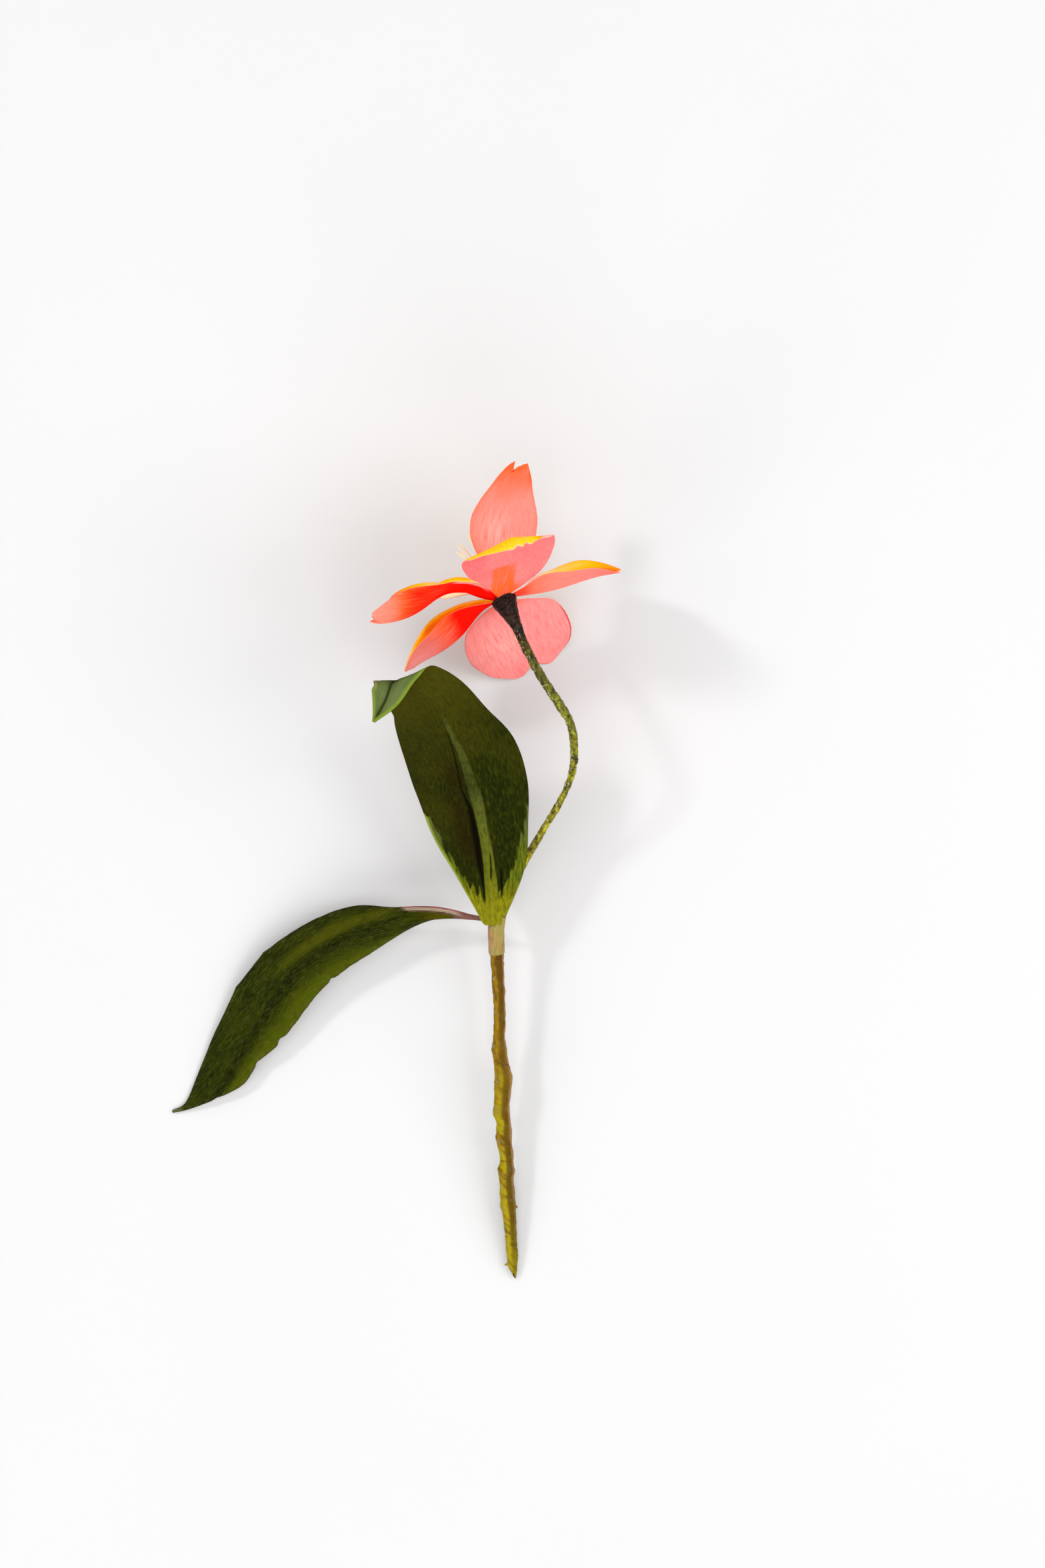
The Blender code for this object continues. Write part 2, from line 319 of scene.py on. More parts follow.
def tatter(middle, way):
    """How far a scrap of the wrapping sticks out on that side of the stalk, in mm."""
    angle = math.degrees(math.atan2(-way.z, way.x))
    out = 0.0
    for y, side, size, reach in TATTERS:
        turned = (angle - side + 180) % 360 - 180
        apart = (middle.y - y) ** 2 + turned ** 2 / SQUARE_DEGREES
        out += size * math.exp(-apart / reach ** 2)
    return out


def stalk_ring(middle, ahead, arm, radius, turns, neck):
    """One ring round the stalk: its points in mm, and how far across the wound strip each is."""
    ring, strips = [], []
    # The strips sway as they wind, knobs and fine grain roughen them, and each one rises by a step
    # from where it comes out from under the next.
    lumpy = (1 - 0.2 * neck) * (1 - 0.6 * float(ease(*FUNNEL, middle.y)))
    for k in range(STALK_SIDES):
        angle = 2 * math.pi * k / STALK_SIDES
        way = Quaternion(ahead, angle) @ arm
        spot = middle + way * radius
        sway = noise.noise(spot * 0.09) + 0.4 * noise.noise(spot * 0.3)
        share = (turns + angle / (2 * math.pi) + 0.45 * sway) % 1
        strip = share if share < 1 - OVERLAP else (1 - share) / OVERLAP
        knob = noise.noise(spot * 0.32) * 0.30
        knob += noise.noise(spot * 0.85 + Vector((9, 3, 1))) * (0.12 + 0.20 * neck)
        fine = noise.noise(Vector((spot.x * 2.2, spot.y * 0.9, spot.z * 2.2))) * 0.06
        step = max(0.16 + 0.22 * noise.noise(spot * 0.12 + Vector((0, 7, 0))), 0.02)
        height = knob * lumpy + fine + strip * step - 0.12
        if SHEATH[0] < middle.y < SHEATH[1]:
            height *= 0.3
        cut = max(0.0, 1 - (middle.y - CUT_END) / CUT_LENGTH)
        spot = spot + way * (height + tatter(middle, way))
        spot.y += cut * (1.1 * (0.7 * way.z - way.x) + 0.5 * noise.noise(way * 2.6))
        ring.append(spot)
        strips.append(strip)
    return ring, strips


points = []
stalk_marks = {"wrap": [], "sheath": [], "lee": [], "pit": []}


def keep_ring(ring, **marks):
    """Adds a ring and its marks to the stalk. One number may stand for the whole ring."""
    points.extend(ring)
    for name, values in marks.items():
        stalk_marks[name].extend(np.broadcast_to(values, STALK_SIDES))


arm = Vector((1, 0, 0))
turns = 0.0
for i, (middle, radius) in enumerate(zip(spine, girth)):
    ahead = (spine[min(i + 1, STALK_RINGS)] - spine[max(i - 1, 0)]).normalized()
    if i == STALK_RINGS:
        ahead = BLOOM_AXIS
    arm = (arm - ahead * arm.dot(ahead)).normalized()
    neck = float(ease(*NECK, middle.y))
    pitch = LOWER_PITCH + (NECK_PITCH - LOWER_PITCH) * neck
    turns += (spine[i] - spine[max(i - 1, 0)]).length / pitch
    ring, strips = stalk_ring(middle, ahead, arm, radius, turns, neck)
    if i == 0:
        for share, depth in reversed(PIT_RINGS):
            pit_ring = [middle.lerp(spot, share) + ahead * depth for spot in ring]
            keep_ring(pit_ring, wrap=0.5, sheath=0, lee=0, pit=1)
    lee = [(spot - middle).normalized().x for spot in ring]
    keep_ring(ring, wrap=strips, sheath=SHEATH[0] < middle.y < SHEATH[1], lee=lee, pit=0)


def tube_faces(rings, sides):
    """The faces of a tube of that many rings of points, closed at both ends."""
    faces = [tuple(range(sides))[::-1]]
    for i in range(rings - 1):
        a, b = i * sides, (i + 1) * sides
        for k in range(sides):
            j = (k + 1) % sides
            faces.append((a + k, a + j, b + j, b + k))
    faces.append(tuple((rings - 1) * sides + k for k in range(sides)))
    return faces


def varnished_wrap():
    """Strips of gold to reddish brown under varnish, painted lighter on the left and darker on the right as
    light and shade, the pale sheath, and the pit in the cut end painted near black as shade.
    """
    finish, tree = new_finish("varnished stalk wrap", 0.50, 0.04, coat=0.09, coat_roughness=0.12)
    place = object_place(tree)
    stem_y = place_along(tree, place)
    coarse = grain(tree, place, 90, 3)
    specks = grain(tree, place, 330, 4, 0.6)
    long_way = node(tree, "ShaderNodeMapping", {"Vector": place, "Scale": (1.0, 0.20, 1.0)})
    streak = grain(tree, long_way, 480, 3)
    slant = {"Vector": place, "Rotation": (0, 0, math.radians(-36)), "Scale": (3.4, 1.0, 3.4)}
    stripes = grain(tree, node(tree, "ShaderNodeMapping", slant, vector_type="TEXTURE"), 400, 3)
    drift = scaled(tree, coarse, 0.020, -0.010)
    colour = ramp(
        tree, grade(tree, plus(tree, stem_y, drift), -0.151, -0.029),
        (0.00, (0.200, 0.155, 0.0010)),
        (0.17, (0.108, 0.078, 0.0006)),
        (0.34, (0.090, 0.055, 0.0005)),
        (0.50, (0.130, 0.080, 0.0010)),
        (0.62, (0.160, 0.100, 0.0012)),
        (0.75, (0.125, 0.066, 0.0006)),
        (0.88, (0.082, 0.036, 0.0004)),
        (1.00, (0.076, 0.033, 0.0004)),
    )
    side = scaled(tree, coarse, 0.9, math_node(tree, "SUBTRACT", mark(tree, "lee"), 0.45))
    lower = step_up(tree, stem_y, -0.060, -0.095)
    # Gold streaks, and yellow stripes lower down, are the wrap's colours kept to the left side: painted
    # highlight where the light falls.
    painted_lit_golden = times(tree, step_up(tree, streak, 0.30, 0.58), step_up(tree, side, 0.15, -0.40, 0.85))
    colour = blend(tree, painted_lit_golden, colour, (0.27, 0.152, 0.0006))
    painted_lit_yellow = times(tree, step_up(tree, stripes, 0.38, 0.56), step_up(tree, side, 0.35, -0.35, 0.90))
    colour = blend(tree, times(tree, painted_lit_yellow, lower), colour, (0.29, 0.235, 0.0006))
    # Reddish-brown stripes kept to the right side: painted shade on the side away from the light.
    painted_shade_russet = times(tree, step_up(tree, stripes, 0.52, 0.36, 0.50), step_up(tree, side, -0.75, -0.10))
    colour = blend(tree, painted_shade_russet, colour, (0.085, 0.036, 0.0004))
    colour = blend(tree, step_up(tree, specks, 0.52, 0.66, 0.45), colour, (0.40, 0.32, 0.25), "MULTIPLY")
    middle = math_node(tree, "ABSOLUTE", math_node(tree, "SUBTRACT", side, 0.28))
    middle = step_up(tree, middle, 0.48, 0.12, 0.70)
    middle = times(tree, middle, step_up(tree, stem_y, -0.148, -0.128))
    colour = blend(tree, middle, colour, (0.085, 0.042, 0.0004))
    rosy = step_up(tree, mark(tree, "lee"), 0.66, 0.86, 0.80)
    rosy = times(tree, rosy, step_up(tree, stem_y, -0.140, -0.105))
    colour = blend(tree, rosy, colour, (0.27, 0.145, 0.060))
    # Pale specks on the left side are painted glints on the knobs, where the light falls.
    painted_left_glints = times(tree, step_up(tree, specks, 0.59, 0.70, 0.45), step_up(tree, side, -0.15, -0.65))
    colour = blend(tree, painted_left_glints, colour, (0.42, 0.38, 0.22))
    seam = step_up(tree, mark(tree, "wrap"), 0.09, 0.01, 0.8)
    seam = times(tree, seam, step_up(tree, coarse, 0.44, 0.58))
    colour = blend(tree, seam, colour, (0.060, 0.016, 0.002))
    tan = blend(tree, step_up(tree, coarse, 0.4, 0.6), (0.30, 0.20, 0.065), (0.26, 0.22, 0.060))
    tan = blend(tree, step_up(tree, mark(tree, "lee"), -0.2, -0.9, 0.6), tan, (0.33, 0.16, 0.10))
    tan = blend(tree, step_up(tree, streak, 0.55, 0.40, 0.5), tan, (0.6, 0.5, 0.4), "MULTIPLY")
    colour = blend(tree, mark(tree, "sheath"), colour, tan)
    # The pit in the cut end is painted near black, as shade inside it.
    colour = blend(tree, mark(tree, "pit"), colour, (0.012, 0.007, 0.003))
    lay_on(tree, colour, plus(tree, stripes, specks, grain(tree, place, 900, 3)), 0.35, 0.8)
    return finish


def glazed_neck():
    """Olive strips that darken up to the black funnel, under a glaze that catches the light, with pale glints
    painted on the left.
    """
    finish, tree = new_finish("glazed dark neck", 0.55, 0.03, coat=0.30, coat_roughness=0.04)
    place = object_place(tree)
    stem_y = place_along(tree, place)
    coarse = grain(tree, place, 110, 3)
    long_way = node(tree, "ShaderNodeMapping", {"Vector": place, "Scale": (1.0, 0.50, 1.0)})
    blots = grain(tree, long_way, 620, 3, 0.6)
    fine = grain(tree, long_way, 1500, 2)
    drift = scaled(tree, coarse, 0.012, -0.006)
    colour = ramp(
        tree, grade(tree, plus(tree, stem_y, drift), -0.016, 0.104),
        (0.00, (0.180, 0.165, 0.0040)),
        (0.25, (0.175, 0.150, 0.0020)),
        (0.50, (0.150, 0.140, 0.0025)),
        (0.66, (0.105, 0.105, 0.0025)),
        (0.80, (0.058, 0.050, 0.0010)),
        (0.88, (0.020, 0.011, 0.0002)),
        (0.93, (0.007, 0.0025, 0.0002)),
        (1.00, (0.005, 0.0008, 0.0001)),
    )
    colour = blend(tree, step_up(tree, blots, 0.53, 0.63, 0.9), colour, (2.3, 2.4, 1.5), "MULTIPLY")
    colour = blend(tree, step_up(tree, blots, 0.48, 0.38, 0.9), colour, (0.17, 0.15, 0.10), "MULTIPLY")
    seam = step_up(tree, mark(tree, "wrap"), 0.16, 0.01, 0.9)
    colour = blend(tree, seam, colour, (0.18, 0.12, 0.06), "MULTIPLY")
    # Pale flecks on the left side below the funnel are painted glints of the glaze.
    painted_glints = times(tree, step_up(tree, fine, 0.58, 0.68, 0.75), step_up(tree, mark(tree, "lee"), 0.35, -0.25))
    painted_glints = times(tree, painted_glints, step_up(tree, stem_y, 0.094, 0.084))
    colour = blend(tree, painted_glints, colour, (0.50, 0.50, 0.27))
    lay_on(tree, colour, scaled(tree, blots, 2.0, fine), 0.45, coated=True)
    return finish


stalk = add_mesh("stalk_wrapped", [point * MM for point in points],
                 tube_faces(len(points) // STALK_SIDES, STALK_SIDES), varnished_wrap(), stalk_marks)
stalk.data.materials.append(glazed_neck())
for face in stalk.data.polygons:
    face.material_index = 1 if face.center.y > NECK_GLAZE_FROM * MM else 0
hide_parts("stem")
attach(stalk, "root")

# The upright leaf
# It is a strap of crepe paper, cut to a point and brushed dark olive. A paler rib is glued up the
# middle of its back, and its foot is gathered round the node. Its tip is folded forwards along a
# crease and shows the paler face.
# Shade is painted beside the rib and in the tip's crease, and a highlight along the left margin.
Leaf = namedtuple("Leaf", "rows side roll fold cup")
MIDRIB_STEPS = 120
SECTION_STEPS = 8
LEAF_THICKNESS = 0.34
# How many steps a sheet is divided into along and across.
UPRIGHT_GRID, TRAILING_GRID = (300, 96), (340, 72)
# A sheet thins to this share of its thickness within so many mm of its edge.
EDGE_SHARE, EDGE_DEPTH = 0.45, 0.8
# rows: x, y and z of the middle, and how far the left and right halves reach, in mm. side points
# across the first row. roll turns the section, fold and cup bend its halves, all in degrees.
UPRIGHT = Leaf(
    rows=(
        (36.8, -17.7, 24.0, 4.7, 5.3),
        (36.4, -7.1, 28.6, 11.6, 10.8),
        (35.7, 4.6, 33.1, 18.2, 15.0),
        (33.5, 17.8, 38.4, 23.4, 17.7),
        (31.5, 31.1, 44.3, 26.4, 19.4),
        (27.8, 43.4, 50.4, 26.4, 18.9),
        (23.1, 53.8, 56.6, 24.3, 14.7),
        (17.5, 63.2, 62.0, 20.6, 12.0),
        (10.6, 68.6, 66.6, 16.5, 10.2),
        (3.2, 72.0, 70.1, 10.0, 7.9),
        (-4.3, 76.1, 74.1, 6.5, 4.8),
        (-12.9, 79.0, 76.9, 0.3, 0.4),
    ),
    side=Vector((1, 0, 0)),
    roll=(0, -4, -5, -4, -2, 0),
    fold=(5, 12, 16, 16, 14, 10, 6),
    cup=(60, 28, 14, 12, 10, 8, 6),
)
# The crease in the tip: a point on it, its direction, which way the folded tip faces, how tight
# the fold is in mm, and how far it turns over.
CREASE_POINT = Vector((4.9, 72.5, 68.5))
CREASE_LINE = Vector((-1.0, -0.381, 0.068)).normalized()
CREASE_FACING = Vector((0.166, -0.815, 1.0))
CREASE_RADIUS, CREASE_ANGLE = 1.6, math.radians(160)


def angle_through(degrees, t):
    """The angle at t in radians, from evenly spaced angles in degrees."""
    return math.radians(through(degrees, t))


def across_section(half_width, fold, cup, v):
    """Sideways and inward offsets at v on a section whose halves are folded and cupped."""
    side = inward = 0.0
    step = abs(v) * half_width / SECTION_STEPS
    for i in range(SECTION_STEPS):
        angle = fold + cup * abs(v) * (i + 0.5) / SECTION_STEPS
        side += step * math.cos(angle)
        inward += step * math.sin(angle)
    return math.copysign(side, v), inward


def leaf_surface(leaf):
    """The leaf's middle surface in mm: a section carried along the middle rows, then rolled."""
    knots = [Vector(row[:3]) for row in leaf.rows]
    lefts, rights = [row[3] for row in leaf.rows], [row[4] for row in leaf.rows]
    middles = [through(knots, i / MIDRIB_STEPS) for i in range(MIDRIB_STEPS + 1)]
    aheads = [
        (middles[min(i + 1, MIDRIB_STEPS)] - middles[max(i - 1, 0)]).normalized()
        for i in range(MIDRIB_STEPS + 1)
    ]
    side = leaf.side
    sides = []
    for ahead in aheads:
        side = (side - ahead * side.dot(ahead)).normalized()
        sides.append(side)

    def surface(u, v):
        start = min(int(u * MIDRIB_STEPS), MIDRIB_STEPS - 1)
        share = u * MIDRIB_STEPS - start
        ahead = aheads[start].lerp(aheads[start + 1], share).normalized()
        side = sides[start].lerp(sides[start + 1], share).normalized()
        turn = Quaternion(ahead, angle_through(leaf.roll, u))
        fold, cup = angle_through(leaf.fold, u), angle_through(leaf.cup, u)
        y, z = across_section(through(rights if v > 0 else lefts, u), fold, cup, v)
        middle = middles[start].lerp(middles[start + 1], share)
        return middle + turn @ (side * y + ahead.cross(side) * z)

    return surface


def folded_surface(surface):
    """The surface with what lies beyond the crease folded over towards the viewer."""
    facing = (CREASE_FACING - CREASE_LINE * CREASE_FACING.dot(CREASE_LINE)).normalized()
    beyond = CREASE_LINE.cross(facing)

    def folded(u, v):
        apart = surface(u, v) - CREASE_POINT
        along, out, lift = apart.dot(CREASE_LINE), apart.dot(beyond), apart.dot(facing)
        angle = min(max(out / CREASE_RADIUS, 0), CREASE_ANGLE)
        rest = max(out - CREASE_RADIUS * CREASE_ANGLE, 0)
        radius = CREASE_RADIUS - lift
        out = min(out, 0) + radius * math.sin(angle) + rest * math.cos(angle)
        lift = CREASE_RADIUS - radius * math.cos(angle) + rest * math.sin(angle)
        return CREASE_POINT + CREASE_LINE * along + beyond * out + facing * lift

    return folded


def wander(a, b, seed):
    """Smooth noise from -1 to 1 over two arrays of the same shape."""
    spots = zip(a.ravel(), b.ravel())
    return np.array([noise.noise(Vector((x, y, seed))) for x, y in spots]).reshape(a.shape)


def hump(value, middle, width):
    """1 at the middle, and fading away over about the width on either side."""
    return np.exp(-(((value - middle) / width) ** 2))


def stretch(value, start, full, fading, end):
    """1 from full to fading, and 0 before start and after end."""
    return ease(start, full, value) * ease(end, fading, value)


def paper_blade(name, surface, steps_in_grid, thickness, finish, shape, paint, margin=None):
    """A closed sheet of paper. surface(u, v) gives its middle in mm, shape the height of its
    relief in mm on both faces and on the back alone, and paint its marks. margin(u, v) scales
    how far the edge reaches."""
    rows, columns = steps_in_grid
    us, vs = np.linspace(0, 1, rows + 1), np.linspace(-1, 1, columns + 1)
    reach = margin if margin else lambda u, v: 1.0
    grid = np.array([[tuple(surface(u, v * reach(u, v))) for v in vs] for u in us])
    normal = np.cross(np.gradient(grid, axis=0), np.gradient(grid, axis=1))
    normal /= np.maximum(np.linalg.norm(normal, axis=2, keepdims=True), 1e-9)
    middle = columns // 2
    steps = np.linalg.norm(np.diff(grid[:, middle], axis=0), axis=1)
    along = np.repeat(np.concatenate([[0], np.cumsum(steps)])[:, None], columns + 1, axis=1)
    spans = np.linalg.norm(np.diff(grid, axis=1), axis=2)
    across = np.concatenate([np.zeros((rows + 1, 1)), np.cumsum(spans, axis=1)], axis=1)
    across -= across[:, middle:middle + 1]
    half = np.where(across < 0, -across[:, :1], across[:, -1:])
    edge = np.minimum(half - np.abs(across), along[-1, 0] - along)
    u, v = np.meshgrid(us, vs, indexing="ij")
    both, back = shape(u, v, along, across, edge)
    thick = thickness * (EDGE_SHARE + (1 - EDGE_SHARE) * ease(0, EDGE_DEPTH, edge))
    front = grid + normal * (both + thick / 2)[..., None]
    rear = grid + normal * (both - back - thick / 2)[..., None]
    points = np.concatenate([front.reshape(-1, 3), rear.reshape(-1, 3)]) * MM
    width, layer = columns + 1, (rows + 1) * (columns + 1)
    faces = []
    for i in range(rows):
        for j in range(columns):
            a = i * width + j
            faces.append((a, a + width, a + width + 1, a + 1))
            faces.append((layer + a, layer + a + 1, layer + a + width + 1, layer + a + width))
    rim = [i * width for i in range(rows)] + [rows * width + j for j in range(columns)]
    rim += [i * width + columns for i in range(rows, 0, -1)] + list(range(columns, 0, -1))
    for a, b in zip(rim, rim[1:] + rim[:1]):
        faces.append((b, a, a + layer, b + layer))
    marks = {"along": along, "across": across, "edge": edge, **paint(u, v, along, across, edge)}
    marks = {kind: np.concatenate([values.ravel(), values.ravel()]) for kind, values in marks.items()}
    marks["front"] = np.concatenate([np.ones(layer), np.zeros(layer)])
    return add_mesh(name, points, faces, finish, marks)


def paper_grain(tree, width, length, seed=0.0):
    """Noise drawn out along the sheet: spots of about that width and length in mm."""
    inputs = {"X": times(tree, mark(tree, "across"), 1 / width),
              "Y": times(tree, mark(tree, "along"), 1 / length), "Z": seed}
    return grain(tree, node(tree, "ShaderNodeCombineXYZ", inputs), 1.0, 3)


def crepe_ribs(tree, spacing, sway=6.0, seed=2.0):
    """The fine ribs of crepe paper, from 0 to 1, that run along the sheet."""
    drift = times(tree, paper_grain(tree, 1.6, 7.0, seed), sway)
    phase = scaled(tree, mark(tree, "across"), 2 * math.pi / spacing, drift)
    return scaled(tree, math_node(tree, "SINE", phase), 0.5, 0.5)


def rib_half(along):
    """Half the width of the glued rib, in mm."""
    places = (0, 12, 24, 36, 50, 60, 70, 84, 88)
    return np.interp(along, places, (3.2, 2.8, 2.3, 1.9, 2.4, 2.1, 1.5, 1.1, 0.9))


def rib_bow(along):
    """How far left of the leaf's middle the rib is glued, in mm."""
    return np.interp(along, (42, 50, 58, 80, 90), (0, 0.7, 1.2, 1.2, 0.9))


def groove_left(along):
    """How far left of the leaf's middle the groove beside the rib runs, in mm. It is painted near black as
    the raised rib's shadow.
    """
    beside = np.interp(along, (10, 15, 24, 35, 47, 55, 68, 80), (2.4, 2.6, 3.7, 3.3, 3.7, 4.9, 3.4, 1.7))
    return beside + rib_bow(along)


def upright_shape(u, v, along, across, edge):
    """Waves, the flap's crease, the groove and the gathered foot's pleats; the rib on the back."""
    waves = 0.40 * wander(along / 16, across / 9, 1.0) + 0.08 * wander(along / 6, across / 1.1, 2.0)
    crease = -0.8 * hump(across, 0, 1.3) * ease(0.80, 0.88, u)
    ribbed = stretch(along, 4, 12, 83, 87)
    groove = (0.6 - 0.35 * ease(46, 58, along)) * hump(across, -groove_left(along), 0.9) * ribbed
    pleats = 0.35 * np.sin(across * 2.2 + 0.8 + 0.05 * along) * ease(26, 10, along) * ease(0.3, 2.5, edge)
    both = waves * ease(0, 1.5, edge) * ease(0.0, 0.12, u) + crease + groove - pleats
    rib = np.clip(1 - ((across + rib_bow(along)) / rib_half(along)) ** 2, 0, 1) ** 0.5 * 0.75
    return both, ribbed * rib


def upright_paint(u, v, along, across, edge):
    """Where each brushed colour lies on the upright leaf."""
    ragged = 1.9 * wander(across / 1.2, along / 11, 3.0) + 0.8 * wander(across / 0.35, along / 5, 4.0)
    rib = (rib_half(along) + 0.25 * ragged - np.abs(across + rib_bow(along))) / 0.5
    rib = np.where(along < 86 + 1.5 * wander(across / 0.8, across * 0, 4.0), rib, -1)
    wide = np.interp(along, (8, 16, 24, 35, 47, 54, 60, 80), (0.5, 0.8, 1.6, 2.3, 1.3, 0.6, 0.5, 0.35))
    # Near black in the groove beside the rib is painted shadow of the raised rib; the nook and slit add dark
    # streaks near the foot.
    line = (1.15 - np.abs(across + groove_left(along)) / wide) * stretch(along, 6, 12, 76, 84)
    slit = hump(across, 0.3 + 0.06 * (along - 20), 0.35) * stretch(along, 17, 21, 27, 32)
    nook = 0.9 * hump(across, 4.0, 0.6) * stretch(along, 9, 13, 20, 25)
    places = (10, 14, 18, 24, 30, 34, 38, 42, 44)
    left = np.interp(along, places, (9, 6.0, 4.6, 4.0, 3.4, 4.0, 3.6, 2.2, -2.0))
    right = np.interp(along, (10, 14, 20, 26, 32, 38, 44, 48), (12, 8.5, 6.0, 4.6, 3.0, 1.8, 0.8, -2.0))
    margins = np.where(across < 0, left, right) + 1.4 * ragged - edge
    foot = (13.0 + 3.0 * ragged - along) / 4.0
    return {
        "rib": rib,
        "line": np.maximum(np.maximum(line, nook), slit),
        "pale": np.maximum(margins, foot),
        "burnt": hump(across, -7.0, 4.8) * stretch(along, 16, 28, 52, 78),
        "deep": hump(across, 7.0, 5.0) * stretch(along, 12, 22, 50, 70),
        # painted shade in the pocket where the tip folds over
        "painted_pocket_shade": hump(across, 0, 2.2) * hump(along, 111.5, 3.0),
        "rosy": ease(0.72, 0.95, -v) * hump(along, 113.0, 3.5),
    }


def upright_margin(u, v):
    """The left margin comes in at the crease, so the flap's upper corner is blunt."""
    return 1 - 0.27 * hump(u, 0.88, 0.022) * (v < 0)


def olive_leaf():
    """Dark olive on the back, with pale margins, rib and foot; sage green on the folded tip. Shade is painted
    beside the rib and in the fold at the tip, and a highlight along the left margin.
    """
    finish, tree = new_finish("brushed olive leaf", 0.80, 0.03)
    place = object_place(tree)
    threads = paper_grain(tree, 0.20, 2.2)
    streaks = paper_grain(tree, 1.0, 8.0, 3.0)
    mottle = paper_grain(tree, 0.9, 2.6, 13.0)
    clouds = grain(tree, place, 50, 3)
    along = mark(tree, "along")
    back = blend(tree, step_up(tree, clouds, 0.38, 0.62), (0.0105, 0.0140, 0.0002), (0.022, 0.0225, 0.0006))
    back = blend(tree, step_up(tree, along, 66, 104, 0.9), back, (0.045, 0.040, 0.0016))
    back = blend(tree, mark(tree, "deep"), back, (0.0075, 0.0110, 0.0001))
    back = blend(tree, step_up(tree, streaks, 0.52, 0.68, 0.40), back, (0.036, 0.042, 0.0016))
    back = blend(tree, step_up(tree, mottle, 0.50, 0.66, 0.35), back, (0.045, 0.050, 0.0020))
    back = blend(tree, step_up(tree, mottle, 0.48, 0.35, 0.45), back, (0.45, 0.42, 0.4), "MULTIPLY")
    burnt = times(tree, mark(tree, "burnt"), step_up(tree, clouds, 0.25, 0.52, 0.85))
    back = blend(tree, burnt, back, (0.0120, 0.0052, 0.0002))
    back = blend(tree, step_up(tree, threads, 0.52, 0.66, 0.16), back, (0.060, 0.066, 0.0040))
    light = blend(tree, step_up(tree, streaks, 0.40, 0.60), (0.075, 0.090, 0.0020), (0.135, 0.160, 0.0080))
    light = blend(tree, step_up(tree, along, 18, 8, 0.75), light, (0.290, 0.265, 0.006))
    light = blend(tree, step_up(tree, threads, 0.50, 0.38, 0.70), light, (0.34, 0.38, 0.3), "MULTIPLY")
    light = blend(tree, step_up(tree, mottle, 0.52, 0.40, 0.55), light, (0.45, 0.48, 0.4), "MULTIPLY")
    light = blend(tree, step_up(tree, streaks, 0.46, 0.34, 0.60), light, (0.35, 0.38, 0.3), "MULTIPLY")
    light = blend(tree, step_up(tree, along, 24, 36, 0.75), light, (0.068, 0.084, 0.022))
    # A pale rim along the left margin is a painted highlight on the edge that faces the light.
    left_edge_highlight = step_up(tree, mark(tree, "edge"), 2.0, 0.6, 0.8)
    left_edge_highlight = times(tree, left_edge_highlight, step_up(tree, mark(tree, "across"), 0, -3))
    light = blend(tree, left_edge_highlight, light, (0.290, 0.330, 0.028))
    back = blend(tree, step_up(tree, mark(tree, "pale"), -0.1, 0.7, 0.95), back, light)
    sage = ramp(
        tree, grade(tree, along, 5, 88),
        (0.0, (0.205, 0.190, 0.004)),
        (0.11, (0.150, 0.150, 0.004)),
        (0.20, (0.105, 0.118, 0.006)),
        (0.45, (0.080, 0.092, 0.010)),
        (0.55, (0.062, 0.068, 0.010)),
        (0.62, (0.028, 0.032, 0.003)),
        (0.78, (0.052, 0.060, 0.008)),
        (1.0, (0.048, 0.056, 0.008)),
    )
    sage = blend(tree, step_up(tree, mottle, 0.53, 0.38, 0.60), sage, (0.45, 0.47, 0.4), "MULTIPLY")
    sage = blend(tree, step_up(tree, threads, 0.50, 0.64, 0.25), sage, (0.13, 0.150, 0.030))
    back = blend(tree, step_up(tree, mark(tree, "rib"), 0.0, 1.0, 0.92), back, sage)
    # Painted shadow beside the rib, and dark streaks near the foot.
    back = blend(tree, step_up(tree, mark(tree, "line"), 0.1, 0.9, 0.95), back, (0.0020, 0.0014, 0.0001))
    front = blend(tree, step_up(tree, clouds, 0.35, 0.65), (0.080, 0.108, 0.028), (0.105, 0.135, 0.040))
    front = blend(tree, step_up(tree, threads, 0.48, 0.64, 0.18), front, (0.13, 0.165, 0.055))
    front = blend(tree, step_up(tree, mottle, 0.50, 0.36, 0.30), front, (0.6, 0.6, 0.5), "MULTIPLY")
    # The crease down the folded tip is painted near black, as shade in the fold.
    crease = step_up(tree, math_node(tree, "ABSOLUTE", mark(tree, "across")), 0.75, 0.15, 0.90)
    front = blend(tree, times(tree, crease, step_up(tree, along, 104, 110)), front, (0.016, 0.019, 0.002))
    front = blend(tree, step_up(tree, mark(tree, "edge"), 1.9, 0.4, 0.80), front, (0.165, 0.235, 0.018))
    front = blend(tree, times(tree, mark(tree, "rosy"), 0.8), front, (0.28, 0.16, 0.12))
    colour = blend(tree, step_up(tree, mark(tree, "front"), 0.3, 0.7), back, front)
    # Painted shade in the pocket where the tip folds over.
    colour = blend(tree, times(tree, mark(tree, "painted_pocket_shade"), 0.9), colour, (0.008, 0.009, 0.001))
    rim = step_up(tree, mark(tree, "edge"), 0.30, 0.05, 0.5)
    colour = blend(tree, rim, colour, (0.40, 0.25, 0.15), "MULTIPLY")
    lay_on(tree, colour, plus(tree, mottle, threads, crepe_ribs(tree, 0.45)), 0.16, 0.6)
    return finish


leaf = paper_blade("leaf_upright_paper", folded_surface(leaf_surface(UPRIGHT)), UPRIGHT_GRID,
                   LEAF_THICKNESS, olive_leaf(), upright_shape, upright_paint, upright_margin)
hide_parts("leaf_upright")
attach(leaf, "root")

